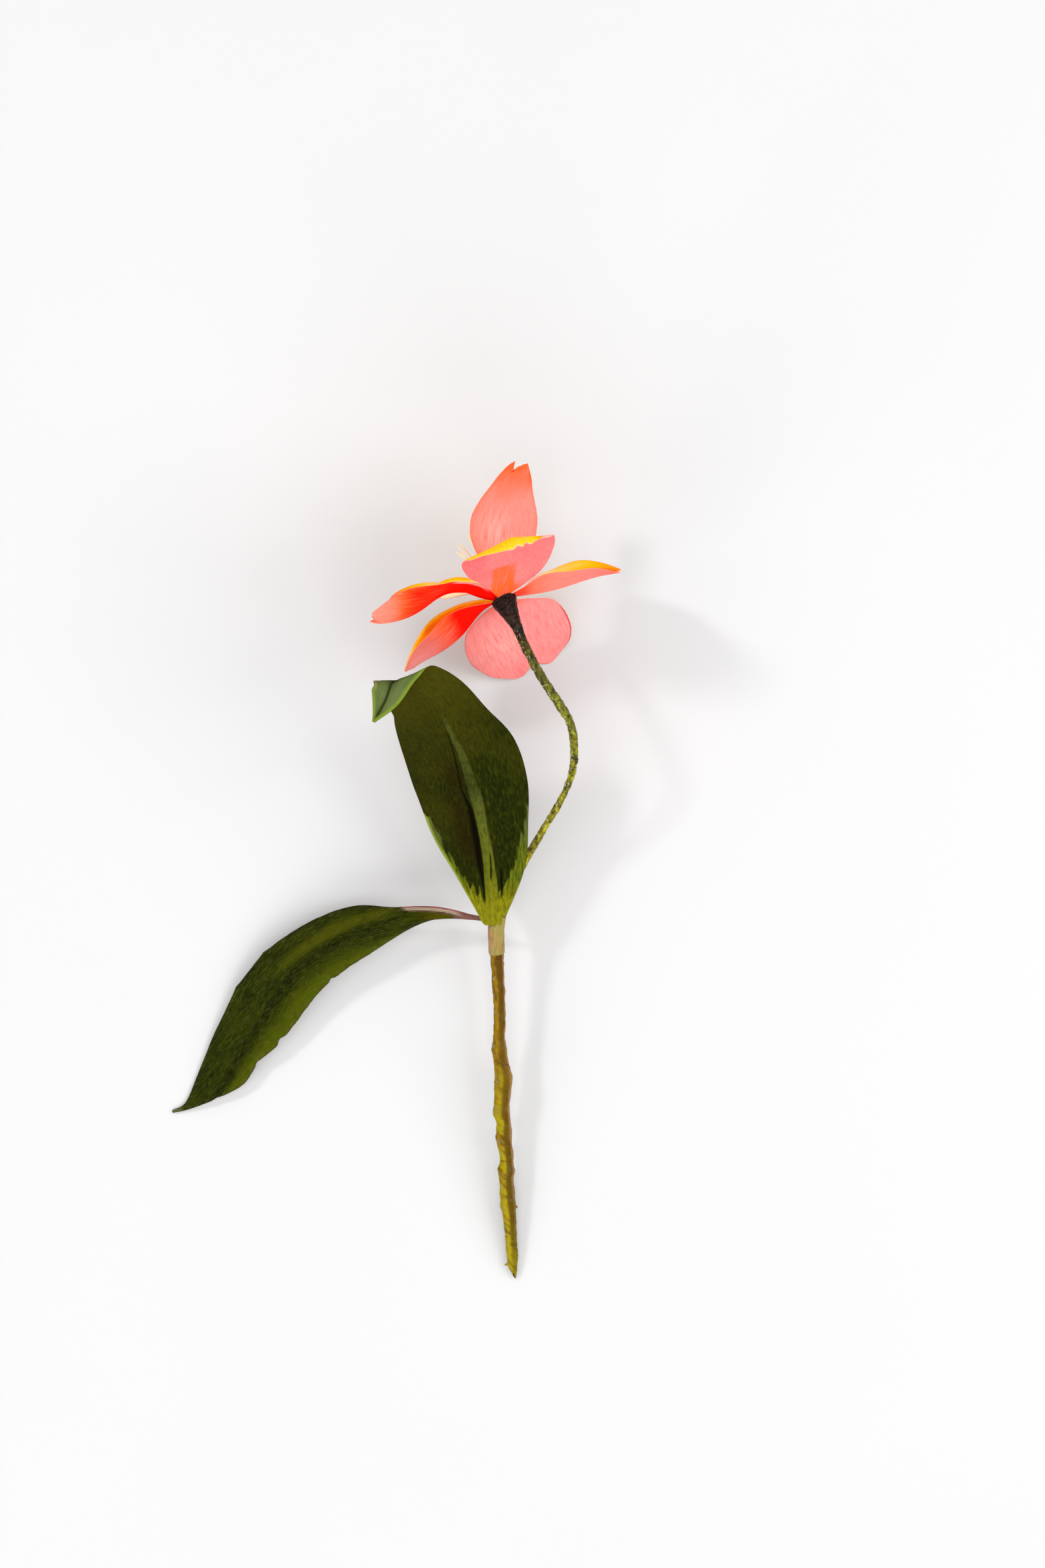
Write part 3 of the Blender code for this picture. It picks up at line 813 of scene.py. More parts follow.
# The trailing leaf
# It is a narrower strap. Its thin pinkish stalk comes from under the wrapping at the node and
# opens into a broad dark green blade that turns its back up. Its lower edge is nicked where it
# was torn, and it ends in a thin curled tail.
TRAILING = Leaf(
    rows=(
        (36.9, -21.6, 18.0, 1.2, 1.4),
        (34.6, -16.6, 17.9, 1.2, 2.2),
        (27.0, -15.3, 17.9, 1.3, 2.6),
        (18.7, -15.0, 18.3, 3.1, 3.8),
        (9.8, -15.6, 17.9, 4.5, 5.4),
        (-0.2, -17.7, 18.1, 6.5, 7.3),
        (-11.4, -21.0, 17.1, 9.0, 11.3),
        (-22.7, -26.1, 15.6, 10.2, 12.8),
        (-34.0, -33.7, 13.6, 11.2, 13.8),
        (-42.9, -42.8, 11.4, 12.0, 14.7),
        (-50.8, -54.1, 9.4, 11.8, 14.8),
        (-58.4, -63.7, 7.1, 9.6, 12.1),
        (-64.7, -73.0, 5.3, 9.3, 9.6),
        (-71.2, -81.2, 3.4, 4.3, 6.5),
        (-78.3, -87.2, 1.6, 0.9, 2.0),
        (-84.1, -88.9, 0.8, 0.5, 0.5),
    ),
    side=Vector((-0.57, 0, 0.82)),
    roll=(0, 40, 96, 112, 118, 121, 123, 125, 125),
    fold=(0, 12, 28, 18, 12, 12, 12, 10, 6),
    cup=(60, 50, 40, 16, 10, 8, 6, 4, 4),
)
# Corners on the upper margin and nicks in the torn one: where along it, how deep, and how long.
CORNERS = ((0.573, 0.06, 0.020), (0.645, 0.055, 0.018))
NICKS = (
    (0.505, 0.07, 0.006),
    (0.655, 0.03, 0.02),
    (0.672, 0.10, 0.008),
    (0.740, 0.05, 0.010),
    (0.86, 0.05, 0.008),
)


def trailing_margin(u, v):
    """How far the edge reaches: the upper margin has corners, and the torn one has nicks."""
    side = 1 if v > 0 else -1
    rough = 0.010 * noise.noise(Vector((u * 60, side, 5.0)))
    rough += 0.008 * noise.noise(Vector((u * 210, side, 8.0)))
    if v > 0:
        corners = sum(high * math.exp(-abs(u - place) / long) for place, high, long in CORNERS)
        return 1 + corners + 0.7 * rough
    return 1 - sum(deep * hump(u, place, long) for place, deep, long in NICKS) + 1.5 * rough


def trailing_shape(u, v, along, across, edge):
    """Low waves, and the channel down the back of the thin stalk."""
    waves = 0.40 * wander(along / 18, across / 8, 11.0) + 0.08 * wander(along / 7, across / 0.9, 12.0)
    both = waves * ease(0, 1.5, edge) * ease(0.1, 0.3, u)
    return both, 0.25 * np.cos(across * 1.1) * ease(0.34, 0.18, u)


def trailing_paint(u, v, along, across, edge):
    """Where each brushed colour lies on the trailing leaf."""
    # A darker stripe that wanders along the middle fold: painted shade.
    fold_shade_band = 1 - np.abs(across + 2.0 - 3.0 * np.sin(u * 5 - 0.5)) / 3.5
    strip = (2.7 - edge) * ease(38, 29, along) * (v > 0)
    return {
        "fold_shade_band": fold_shade_band * stretch(u, 0.30, 0.42, 0.84, 0.95),
        "stalk": np.maximum(strip, (19 - along) / 3),
        "tail": (u - 0.94) / 0.04,
        # painted sheen near the upper margin
        "shine": hump(across, 5.5, 2.6) * stretch(u, 0.26, 0.38, 0.50, 0.66),
        "low": -across / 9,
        "brown": ease(0.31, 0.20, u),
    }


def dark_leaf():
    """Dark green fibres, darker along the middle fold and lighter near the upper margin as painted shade and
    painted sheen, and the mauve stalk with its pale dotted edge.
    """
    finish, tree = new_finish("fibrous dark leaf", 0.75, 0.03)
    place = object_place(tree)
    ribs = crepe_ribs(tree, 0.55, 9.0)
    threads = paper_grain(tree, 0.22, 2.6, 7.0)
    streaks = paper_grain(tree, 1.3, 14.0, 9.0)
    mottle = grain(tree, place, 300, 4, 0.65)
    clouds = grain(tree, place, 48, 2)
    skin = blend(tree, step_up(tree, clouds, 0.36, 0.64), (0.0110, 0.0160, 0.0001), (0.021, 0.0260, 0.0002))
    skin = blend(tree, step_up(tree, streaks, 0.50, 0.68, 0.65), skin, (0.036, 0.0440, 0.0004))
    skin = blend(tree, step_up(tree, streaks, 0.47, 0.33, 0.65), skin, (0.0050, 0.0075, 0.0001))
    skin = blend(tree, step_up(tree, mark(tree, "low"), 0.3, 1.0, 0.75), skin, (0.070, 0.0850, 0.0002))
    # The shine near the upper margin is a painted sheen.
    skin = blend(tree, step_up(tree, mark(tree, "shine"), 0.1, 1.0, 0.75), skin, (0.060, 0.0640, 0.0006))
    skin = blend(tree, times(tree, mark(tree, "brown"), 0.8), skin, (0.068, 0.0570, 0.0003))
    # Painted shade along the middle fold.
    skin = blend(tree, step_up(tree, mark(tree, "fold_shade_band"), 0.0, 1.0, 0.85), skin, (0.0045, 0.0070, 0.0001))
    fibre = times(tree, step_up(tree, ribs, 0.62, 0.95), step_up(tree, threads, 0.42, 0.60))
    skin = blend(tree, times(tree, fibre, 0.62), skin, (0.068, 0.0900, 0.0008))
    skin = blend(tree, step_up(tree, ribs, 0.35, 0.0, 0.5), skin, (0.40, 0.42, 0.4), "MULTIPLY")
    skin = blend(tree, step_up(tree, mottle, 0.48, 0.36, 0.4), skin, (0.55, 0.5, 0.45), "MULTIPLY")
    skin = blend(tree, step_up(tree, mark(tree, "tail"), 0.0, 1.0, 0.8), skin, (0.10, 0.105, 0.035))
    skin = blend(tree, step_up(tree, mark(tree, "edge"), 0.40, 0.1, 0.7), skin, (0.045, 0.024, 0.018))
    edge = mark(tree, "edge")
    mauve = blend(tree, step_up(tree, edge, 0.35, 0.75), (0.26, 0.050, 0.065), (0.33, 0.250, 0.180))
    mauve = blend(tree, step_up(tree, edge, 1.55, 1.85), mauve, (0.085, 0.048, 0.028))
    dots = times(tree, step_up(tree, edge, 1.25, 1.55), step_up(tree, edge, 1.90, 1.70))
    dots = times(tree, dots, step_up(tree, grain(tree, place, 1100, 1), 0.45, 0.60))
    mauve = blend(tree, dots, mauve, (0.36, 0.32, 0.17))
    mauve = blend(tree, step_up(tree, mark(tree, "along"), 19, 14), mauve, (0.17, 0.072, 0.060))
    mauve = blend(tree, step_up(tree, threads, 0.50, 0.64, 0.35), mauve, (0.30, 0.19, 0.15))
    mauve = blend(tree, step_up(tree, streaks, 0.50, 0.38, 0.45), mauve, (0.55, 0.45, 0.40), "MULTIPLY")
    stalked = plus(tree, mark(tree, "stalk"), scaled(tree, threads, 0.8, -0.4))
    skin = blend(tree, step_up(tree, stalked, 0.0, 0.5), skin, mauve)
    lay_on(tree, skin, plus(tree, threads, mottle, ribs), 0.20, 0.8)
    return finish


leaf = paper_blade("leaf_trailing_paper", leaf_surface(TRAILING), TRAILING_GRID, LEAF_THICKNESS,
                   dark_leaf(), trailing_shape, trailing_paint, trailing_margin)
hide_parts("leaf_trailing")
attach(leaf, "root")

# The petals
# Seven petals are cut from coral crepe paper, notched at the tip and creased or rolled by hand.
# Their backs are pink to red-orange and their faces golden yellow, brushed on. Each is glued by
# its narrow claw into the funnel's mouth.
Petal = namedtuple("Petal", "azimuth length width outline claw rise yaw roll folds reach cup tip")
# Where a claw begins: how far out from the bloom's axis, and how far up it, in mm.
OUTER_CLAW = (2.5, 0.8)
MIDDLE_CLAW = (2.5, 1.6)
INNER_CLAW = (2.5, 2.4)
# How wide a petal is from its claw to its tip, as a share of its full width.
BROAD = (0.08, 0.50, 0.86, 0.98, 1.0, 0.98, 0.92, 0.78, 0.40)
FOLDED = (0.20, 0.52, 0.80, 0.95, 1.0, 1.0, 0.97, 0.92, 0.86)
POINTED = (0.09, 0.36, 0.68, 0.90, 1.0, 0.98, 0.86, 0.58, 0.18)
PETAL_THICKNESS = 0.28
PETAL_GRID = (150, 84)
# azimuth, rise, yaw, roll and folds are in degrees. folds and reach are for the left and right
# halves, reach scales how far they come, and tip says how many mm the end is cut back from left
# to right.
PETALS = {
    "petal_outer_near": Petal(
        azimuth=13.5, length=50.5, width=35, cup=2, outline=FOLDED, claw=OUTER_CLAW,
        rise=(-10.1, 1.1, 2.5, 2.1, 2.2, -24.6, -103.1),
        yaw=(14.3, 4.8, -8.1, 2.7),
        roll=(3.5, -6.2, -4.6, -8.1, -7.0),
        folds=((-7.9, -4.1, -8.5, -12.0, -15.4), (-5.8, -5.1, -6.4, -11.2, -13.5)),
        reach=((0.64, 0.76, 0.92, 1.06, 1.15, 1.14), (0.56, 0.68, 0.79, 0.88, 0.92, 0.94)),
        tip=(4.5, 4.0, 3.5, 2.6, 1.9, 1.3, 0.8, 0.1, 0.8, 0.0, 1.4, 0.3, 1.3, 2.4, 3.3, 3.8, 4.2),
    ),
    "petal_outer_right": Petal(
        azimuth=103.4, length=42.3, width=34, cup=4, outline=POINTED, claw=OUTER_CLAW,
        rise=(-15.8, -12.0, -6.7, -8.0, -22.5),
        yaw=(7.7, -1.8, -4.4, -3.3),
        roll=(16.6, 27.5, 32.1, 34.9, 36.1),
        folds=((15.1, 25.6, 19.6, 17.9, 9.9), (17.5, 24.6, 18.3, 19.5, 13.0)),
        reach=((1.04, 1.037, 1.022, 1.012, 1.003, 0.994), (1.024, 1.027, 1.006, 1.024, 0.996, 0.985)),
        tip=(1.0, 0.4, 1.0, 2.2, 3.0, 2.2, 1.0, 0.4, -0.3),
    ),
    "petal_outer_far": Petal(
        azimuth=180.7, length=48.8, width=39, cup=4, outline=BROAD, claw=OUTER_CLAW,
        rise=(3.4, -10.1, -13.1, -10.6, -15.0),
        yaw=(2.2, 2.3, -2.7, 3.6),
        roll=(8.2, 3.3, 0.5, 2.9, -0.2),
        folds=((3.0, 0.5, 1.0, 0.5, 1.7), (11.1, 3.8, 1.8, 3.0, 1.6)),
        reach=((0.958, 0.973, 1.001, 1.047, 1.054, 1.009), (0.873, 0.950, 1.007, 1.037, 1.025, 1.008)),
        tip=(-0.4, 0.3, 1.8, 3.7, 3.4, 2.0, 0.4, -0.2, 0.3),
    ),
    "petal_outer_low_left": Petal(
        azimuth=-99.2, length=42.7, width=32, cup=4, outline=POINTED, claw=OUTER_CLAW,
        rise=(14.9, -20.8, -11.2, -0.2, -10.8),
        yaw=(-2.2, -4.8, 7.9, -1.3),
        roll=(-25.6, -32.3, -34.1, -33.8, -29.8),
        folds=((26.4, 39.3, 35.3, 31.4, 24.2), (13.0, 36.6, 37.5, 33.7, 28.4)),
        reach=((1.098, 1.088, 1.05, 1.038, 1.008, 0.985), (1.022, 1.044, 1.05, 1.041, 1.023, 1.013)),
        tip=(-0.2, 0.4, 1.0, 2.2, 3.0, 2.2, 1.0, 0.4, 1.2),
    ),
    "petal_outer_left": Petal(
        azimuth=-64.1, length=51.8, width=33, cup=4, outline=POINTED, claw=MIDDLE_CLAW,
        rise=(34.7, 17.4, -21.0, -4.7, 18.3),
        yaw=(7.9, -1.4, 0.5, -0.4),
        roll=(-2.0, -29.8, -32.3, -17.4, -9.1),
        folds=((7.4, 12.0, 21.7, 29.2, 36.3), (10.4, 12.1, 18.5, 25.6, 32.9)),
        reach=((1.009, 1.03, 1.05, 1.067, 1.072, 1.075), (1.026, 1.04, 1.052, 1.071, 1.089, 1.113)),
        tip=(0.0, 0.4, 1.0, 2.2, 2.8, 2.2, 1.0, 0.4, -1.5),
    ),
    "petal_inner_near": Petal(
        azimuth=50.8, length=48.2, width=36, cup=2, outline=POINTED, claw=INNER_CLAW,
        rise=(65.7, 52.8, 42.9, 39.0, 31.5),
        yaw=(-2.3, 1.9, 0.9, 15.8),
        roll=(0.9, -2.1, 0.6, 6.0, -5.4),
        folds=((1.3, -0.3, 1.8, -1.8, 2.8), (2.0, -2.0, 2.7, 3.2, -2.1)),
        reach=((1.0, 0.994, 0.987, 1.007, 1.013, 0.99, 1.017, 1.027, 0.952, 0.93, 1.08),
               (0.998, 0.99, 0.981, 0.981, 0.959, 1.02)),
        tip=(1.1, 4.2, 3.5, 2.5, 2.1, 1.6, 0.9, 0.7, 0.0),
    ),
}
# The seventh, petal_inner_far, is set out in rows as a leaf is. Only one corner of it shows from above.
FAR_PETAL = Leaf(
    rows=(
        (38.4, 101.7, 42.2, 0.9, 1.3),
        (36.4, 103.2, 40.5, 1.0, 2.1),
        (33.2, 105.2, 35.8, 1.8, 3.3),
        (29.1, 105.8, 30.0, 3.9, 5.1),
        (25.0, 106.4, 24.1, 4.7, 5.2),
        (21.1, 106.1, 18.1, 4.8, 4.0),
        (18.0, 105.4, 13.2, 4.6, 2.2),
    ),
    side=Vector((-0.68, -0.6, 0.42)),
    roll=(0, -24, -47),
    fold=(25, 20, 16),
    cup=(20, 20, 14),
)


def petal_surface(petal):
    """The petal's middle surface in mm in the bloom's frame, before its azimuth turns it."""

    def heading(t):
        rise, yaw = angle_through(petal.rise, t), angle_through(petal.yaw, t)
        side = Vector((-math.sin(yaw), math.cos(yaw), 0))
        ahead = Vector((math.cos(yaw), math.sin(yaw), 0)) * math.cos(rise)
        ahead.z = math.sin(rise)
        return ahead, side

    midrib = [Vector((petal.claw[0], 0, petal.claw[1]))]
    for i in range(MIDRIB_STEPS):
        midrib.append(midrib[-1] + heading((i + 0.5) / MIDRIB_STEPS)[0] * (petal.length / MIDRIB_STEPS))

    def surface(u, v):
        held_back = through(petal.tip, min(max((v + 1) / 2, 0), 1))
        t = min(max(u * (1 - held_back / petal.length * u ** 6), 0), 1)
        ahead, side = heading(t)
        turn = Quaternion(ahead, angle_through(petal.roll, t))
        hand = 1 if v > 0 else 0
        half = petal.width / 2 * through(petal.outline, u) * through(petal.reach[hand], u)
        y, z = across_section(half, angle_through(petal.folds[hand], t), math.radians(petal.cup), v)
        start = min(int(t * MIDRIB_STEPS), MIDRIB_STEPS - 1)
        middle = midrib[start].lerp(midrib[start + 1], t * MIDRIB_STEPS - start)
        return middle + turn @ (side * y + ahead.cross(side) * z)

    return surface


# One function for each petal says where its colours are brushed, from the place on the sheet: u
# and v, a along and c across it in mm, the distance to the edge and a slow drift.
def near_washes(u, v, a, c, edge, drift):
    """An orange patch at the foot, deeper pink on the left and a pale highlight painted along the folded end.
    """
    strip = 5.2 - np.abs(c + 2.6 + 0.06 * (a - 4))
    block = np.minimum(strip, 23.4 - a - 0.25 * (c + 3.5) + 0.6 * drift) / 1.4
    frayed = edge + 0.5 * wander(v * 9, u * 20, 61.0)
    return {
        "ember": np.clip(block, 0, 1) * 0.90 + 0.8 * ease(13, 7, a + 0.5 * np.abs(c)),
        "rose": 0.9,
        "deep": 0.40 + 0.35 * ease(0.1, 0.8, -v),
        "warm": 0.44 + 0.30 * ease(0.45, 0.85, v),
        "blush": ease(0.70, 0.80, v + 0.05 * drift),
        "painted_fold_highlight": ease(0.75, 0.30, frayed) * (u > 0.86) * stretch(v, -0.35, -0.15, 0.7, 0.8),
    }


def right_washes(u, v, a, c, edge, drift):
    """Red at the foot and orange towards the tip; the face goes from cream to orange."""
    face = np.interp(a, (0, 10, 18, 24, 32, 42), (0.10, 0.14, 0.26, 0.32, 0.44, 0.85))
    return {
        "red": 0.45 * ease(11, 4, a),
        "ember": 0.5 * ease(16, 6, a) + 0.5 * ease(33, 41, a),
        "pale": 0.20 * stretch(a, 10, 20, 26, 36),
        "rose": 0.5 * ease(22, 34, a) * (v < 0.4),
        "warm": face + 0.45 * ease(0.75, 0.2, v) * ease(10, 18, a),
        "blush": 0.85 * ease(19, 10, a) * ease(-0.2, 0.1, v),
        "rim": 0.8 * (v > 0) * ease(0.3, 0.12, v) * stretch(a, 8, 12, 19, 24),
    }


def far_washes(u, v, a, c, edge, drift):
    """Rosy, paler towards the right of the middle where a highlight is painted, with a dark rim on the left
    edge.
    """
    return {
        "rose": 1.0,
        "deep": 0.25 * ease(30, 42, a),
        "ember": 0.5 * ease(9, 2, a),
        # a paler ground, with a painted highlight right of the middle
        "pale": 0.60 * hump(a, 27, 12) * hump(c, 6, 9) + 0.40,
        "rim": (v < 0) * stretch(a, 16, 24, 40, 46),
    }


def low_left_washes(u, v, a, c, edge, drift):
    """Red from the foot to about the middle, then pale and rosy; the face is orange."""
    return {
        "red": 0.62 * ease(24, 12, a + 3 * drift + 5 * v) + 0.38 * ease(34, 20, a + 4 * drift + 4 * v),
        "ember": 0.70 * ease(34, 16, a) + 0.35 * ease(0.3, 0.9, v),
        "pale": 0.65 * ease(26, 38, a),
        "rose": ease(20, 34, a),
        "warm": 0.74 + 0.20 * drift - 0.36 * ease(2.2, 0.6, edge),
    }


def left_washes(u, v, a, c, edge, drift):
    """Red and orange for most of its length, with a pale highlight painted along the right edge near the
    foot.
    """
    inner = ease(-0.3, 0.1, v)
    far_half = np.interp(a, (0, 14, 19, 24, 29), (0.22, 0.28, 0.34, 0.62, 1.0))
    near_half = 0.28 + 0.22 * ease(0.2, 0.7, u) + 0.35 * ease(0.75, 1.0, u)
    return {
        "red": 0.60 * ease(28, 14, a + 4 * drift) + 0.58 * ease(48, 31, a + 3 * drift),
        "ember": 1 - 0.75 * ease(38, 48, a + 3 * drift),
        "painted_fold_highlight": ease(2.0, 0.8, edge + 0.3 * drift) * (v > 0) * stretch(a, 3, 7, 17, 25),
        "pale": 0.3 * ease(42, 50, a) * ease(0, 6, c),
        "warm": (1 - inner) * far_half + inner * near_half,
        "blush": 0.40 * ease(24, 32, a) * (1 - inner),
    }


def inner_near_washes(u, v, a, c, edge, drift):
    """Orange at the tip and the edges, with a paler patch left of the middle."""
    return {
        "ember": 0.85 * ease(0.62, 0.98, u + 0.08 * drift) + 0.3 * ease(2.2, 0.4, edge),
        "pale": 0.75 * hump(u, 0.42, 0.2) * hump(c, -5, 8) + 0.25,
        "rose": 0.35 * ease(0.8, 0.45, u),
    }


def inner_far_washes(u, v, a, c, edge, drift):
    """A cream face that turns gold on the left, beyond the foot."""
    return {"warm": 0.10 + 0.42 * ease(-2.0, -4.2, c) * ease(9, 20, a)}


WASHES = {
    "petal_outer_near": near_washes,
    "petal_outer_right": right_washes,
    "petal_outer_far": far_washes,
    "petal_outer_low_left": low_left_washes,
    "petal_outer_left": left_washes,
    "petal_inner_near": inner_near_washes,
    "petal_inner_far": inner_far_washes,
}
# On the back red, ember, pale, the painted highlight on folded edges, the dark rim, rosy and deeper pink
# paper; on the face blush, and warm, which goes from cream to orange.
WASH_NAMES = ("red", "ember", "pale", "painted_fold_highlight", "rim", "rose", "deep", "blush", "warm")


def coral_petal():
    """Pink to red-orange crepe paper on the back, and cream, gold and orange on the face."""
    finish, tree = new_finish("coral crepe petal", 0.85, 0.03)
    place = object_place(tree)
    ribs = crepe_ribs(tree, 0.50, 8.0)
    threads = paper_grain(tree, 0.20, 2.0)
    streaks = paper_grain(tree, 0.8, 8.0, 5.0)
    clouds = grain(tree, place, 70, 3)
    fine = grain(tree, place, 900, 3)
    coral = blend(tree, mark(tree, "rose"), (0.97, 0.195, 0.135), (0.97, 0.190, 0.190))
    coral = blend(tree, mark(tree, "deep"), coral, (0.97, 0.112, 0.120))
    coral = blend(tree, step_up(tree, clouds, 0.40, 0.65, 0.35), coral, (0.97, 0.240, 0.200))
    # Pale is paler paper, and on the far petal also a painted highlight.
    pale = times(tree, mark(tree, "pale"), step_up(tree, streaks, 0.25, 0.62))
    coral = blend(tree, pale, coral, (0.98, 0.385, 0.350))
    fibre = times(tree, step_up(tree, ribs, 0.5, 1.0), step_up(tree, threads, 0.42, 0.62))
    fibre = times(tree, fibre, scaled(tree, mark(tree, "red"), -0.30, 0.32))
    coral = blend(tree, fibre, coral, (1.0, 0.52, 0.50))
    ember = times(tree, mark(tree, "ember"), step_up(tree, streaks, 0.18, 0.52))
    coral = blend(tree, ember, coral, (0.97, 0.120, 0.022))
    wash = plus(tree, mark(tree, "red"), scaled(tree, streaks, 0.5, -0.25))
    coral = blend(tree, step_up(tree, wash, 0.05, 0.75), coral, (0.97, 0.004, 0.0005))
    coral = blend(tree, step_up(tree, ribs, 0.45, 0.0, 0.14), coral, (0.95, 0.60, 0.58), "MULTIPLY")
    coral = blend(tree, step_up(tree, fine, 0.52, 0.40, 0.20), coral, (0.97, 0.70, 0.68), "MULTIPLY")
    # Pale folded edges on the back are painted highlights.
    coral = blend(tree, mark(tree, "painted_fold_highlight"), coral, (1.0, 0.36, 0.32))
    coral = blend(tree, step_up(tree, mark(tree, "edge"), 0.34, 0.08, 0.40), coral, (0.80, 0.060, 0.030))
    rim = times(tree, mark(tree, "rim"), step_up(tree, mark(tree, "edge"), 0.75, 0.25, 0.85))
    coral = blend(tree, rim, coral, (0.50, 0.010, 0.012))
    warm = plus(tree, mark(tree, "warm"), scaled(tree, streaks, 0.30, -0.15))
    gold = ramp(
        tree, warm,
        (0.0, (1.0, 0.70, 0.55)),
        (0.12, (1.0, 0.80, 0.50)),
        (0.30, (1.0, 0.58, 0.10)),
        (0.46, (1.0, 0.50, 0.0015)),
        (0.72, (1.0, 0.24, 0.003)),
        (1.0, (1.0, 0.075, 0.002)),
    )
    gold = blend(tree, mark(tree, "blush"), gold, (1.0, 0.37, 0.34))
    gold = blend(tree, step_up(tree, threads, 0.54, 0.70, 0.25), gold, (1.0, 0.30, 0.006))
    # The same painted highlight on folded edges of the face.
    gold = blend(tree, mark(tree, "painted_fold_highlight"), gold, (1.0, 0.50, 0.22))
    gold = blend(tree, step_up(tree, mark(tree, "edge"), 0.45, 0.15, 0.6), gold, (0.97, 0.16, 0.02))
    gold = blend(tree, step_up(tree, mark(tree, "edge"), 0.16, 0.04, 0.8), gold, (1.0, 0.62, 0.40))
    colour = blend(tree, step_up(tree, mark(tree, "front"), 0.25, 0.75), coral, gold)
    lay_on(tree, colour, plus(tree, threads, fine, ribs), 0.10, 0.6)
    return finish


petal_paper = coral_petal()
near = (Vector((0, 0, 1)) - BLOOM_AXIS * BLOOM_AXIS.z).normalized()
bloom_turn = Matrix((near, BLOOM_AXIS.cross(near), BLOOM_AXIS)).transposed().to_4x4()
bloom_place = Matrix.Translation(SEAT) @ bloom_turn


def make_petal(name, surface, seed):
    """One petal of paper from its middle surface, with its own waves and washes."""

    def petal_shape(u, v, along, across, edge):
        both = 0.22 * wander(along / 13, across / 6, seed) + 0.05 * wander(along / 7, across / 0.8, seed + 1)
        if name == "petal_inner_near":
            both += 0.5 * hump(v, -0.62, 0.10) * ease(0.72, 0.95, u)
        return both * ease(0, 1.0, edge) * ease(0.05, 0.2, u), 0 * u

    def petal_paint(u, v, along, across, edge):
        drift = wander(along / 10, across / 5, seed + 5)
        washes = dict.fromkeys(WASH_NAMES, 0.0)
        washes["warm"] = 0.16 + 0.5 * ease(0.1, 0.6, u) + 0.3 * ease(0.7, 1.0, u)
        washes.update(WASHES[name](u, v, along, across, edge, drift))
        return {wash: np.clip(share, 0, 1) + 0 * u for wash, share in washes.items()}

    def petal_margin(u, v):
        side = 1 if v > 0 else -1
        rough = 0.008 * noise.noise(Vector((u * 34, side, seed)))
        return 1 + rough + 0.005 * noise.noise(Vector((u * 120, side, seed)))

    piece = paper_blade(name + "_paper", surface, PETAL_GRID, PETAL_THICKNESS, petal_paper, petal_shape,
                        petal_paint, petal_margin)
    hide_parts(name)
    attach(piece, "root")
    return piece


for number, (name, petal) in enumerate(PETALS.items()):
    piece = make_petal(name, petal_surface(petal), 10.0 * number + 7)
    piece.data.transform(bloom_place @ Matrix.Rotation(math.radians(petal.azimuth), 4, "Z"))
make_petal("petal_inner_far", leaf_surface(FAR_PETAL), 90.0)

# The stamens
# They are stiff paper threads with blunt brushed ends, glued in a ring on a small domed boss in
# the middle of the bloom. They lean outwards, and a few are brushed orange.


def cream_thread():
    """Cream paper; some threads are orange, and all are yellower at their ends."""
    finish, tree = new_finish("cream stamen thread", 0.65, 0.2)
    tint = step_up(tree, mark(tree, "tint"), 0.70, 0.78)
    colour = blend(tree, tint, (0.98, 0.80, 0.55), (0.98, 0.45, 0.10))
    colour = blend(tree, step_up(tree, mark(tree, "along"), 0.80, 0.97, 0.8), colour, (1.0, 0.84, 0.50))
    speckle = grain(tree, object_place(tree), 1500, 2)
    colour = blend(tree, step_up(tree, speckle, 0.4, 0.6, 0.25), colour, (0.9, 0.55, 0.25))
    lay_on(tree, colour, speckle, 0.1, 0.5)
    return finish


thread_paper = cream_thread()
# How high over the funnel's seat the threads stand, in mm.
THREAD_SEAT = 2.4
ring = bpy.data.node_groups.new("Ring of threads", "GeometryNodeTree")
ring.interface.new_socket(name="Geometry", in_out="OUTPUT", socket_type="NodeSocketGeometry")
THREAD_SIZES = {
    "Threads": ("NodeSocketInt", 13),
    "Length": ("NodeSocketFloat", 25.5 * MM),
    "Spread": ("NodeSocketFloat", 5.3 * MM),
    "Ring radius": ("NodeSocketFloat", 1.2 * MM),
    "Thickness": ("NodeSocketFloat", 0.17 * MM),
    "Seed": ("NodeSocketInt", 7),
}
sockets = {
    name: ring.interface.new_socket(name=name, in_out="INPUT", socket_type=kind)
    for name, (kind, _) in THREAD_SIZES.items()
}
given = ring.nodes.new("NodeGroupInput").outputs
bend = node(ring, "ShaderNodeCombineXYZ", {"X": times(ring, given["Spread"], 0.30),
                                            "Z": times(ring, given["Length"], 0.55)})
end = node(ring, "ShaderNodeCombineXYZ", {"X": given["Spread"], "Z": given["Length"]})
thread = node(ring, "GeometryNodeCurveQuadraticBezier",
              {"Resolution": 26, "Start": (0, 0, 0), "Middle": bend, "End": end})
factor = node(ring, "GeometryNodeSplineParameter")
thread = node(ring, "GeometryNodeStoreNamedAttribute",
              {"Geometry": thread, "Name": "along", "Value": factor}, data_type="FLOAT", domain="POINT")
swell = node(ring, "ShaderNodeMapRange",
             {"Value": factor, "From Min": 0.84, "From Max": 0.95, "To Min": 1.0, "To Max": 1.5},
             interpolation_type="SMOOTHSTEP")
profile = node(ring, "GeometryNodeCurvePrimitiveCircle", {"Resolution": 10, "Radius": given["Thickness"]})
thread = node(ring, "GeometryNodeCurveToMesh",
              {"Curve": thread, "Profile Curve": profile, "Scale": swell, "Fill Caps": True})
circle = node(ring, "GeometryNodeMeshCircle", {"Vertices": given["Threads"], "Radius": given["Ring radius"]})


def chance(low, high, salt):
    """A number from low to high for each thread. Each salt draws other numbers."""
    seed = plus(ring, given["Seed"], float(salt))
    return node(ring, "FunctionNodeRandomValue", {"Min": low, "Max": high, "Seed": seed}, data_type="FLOAT")


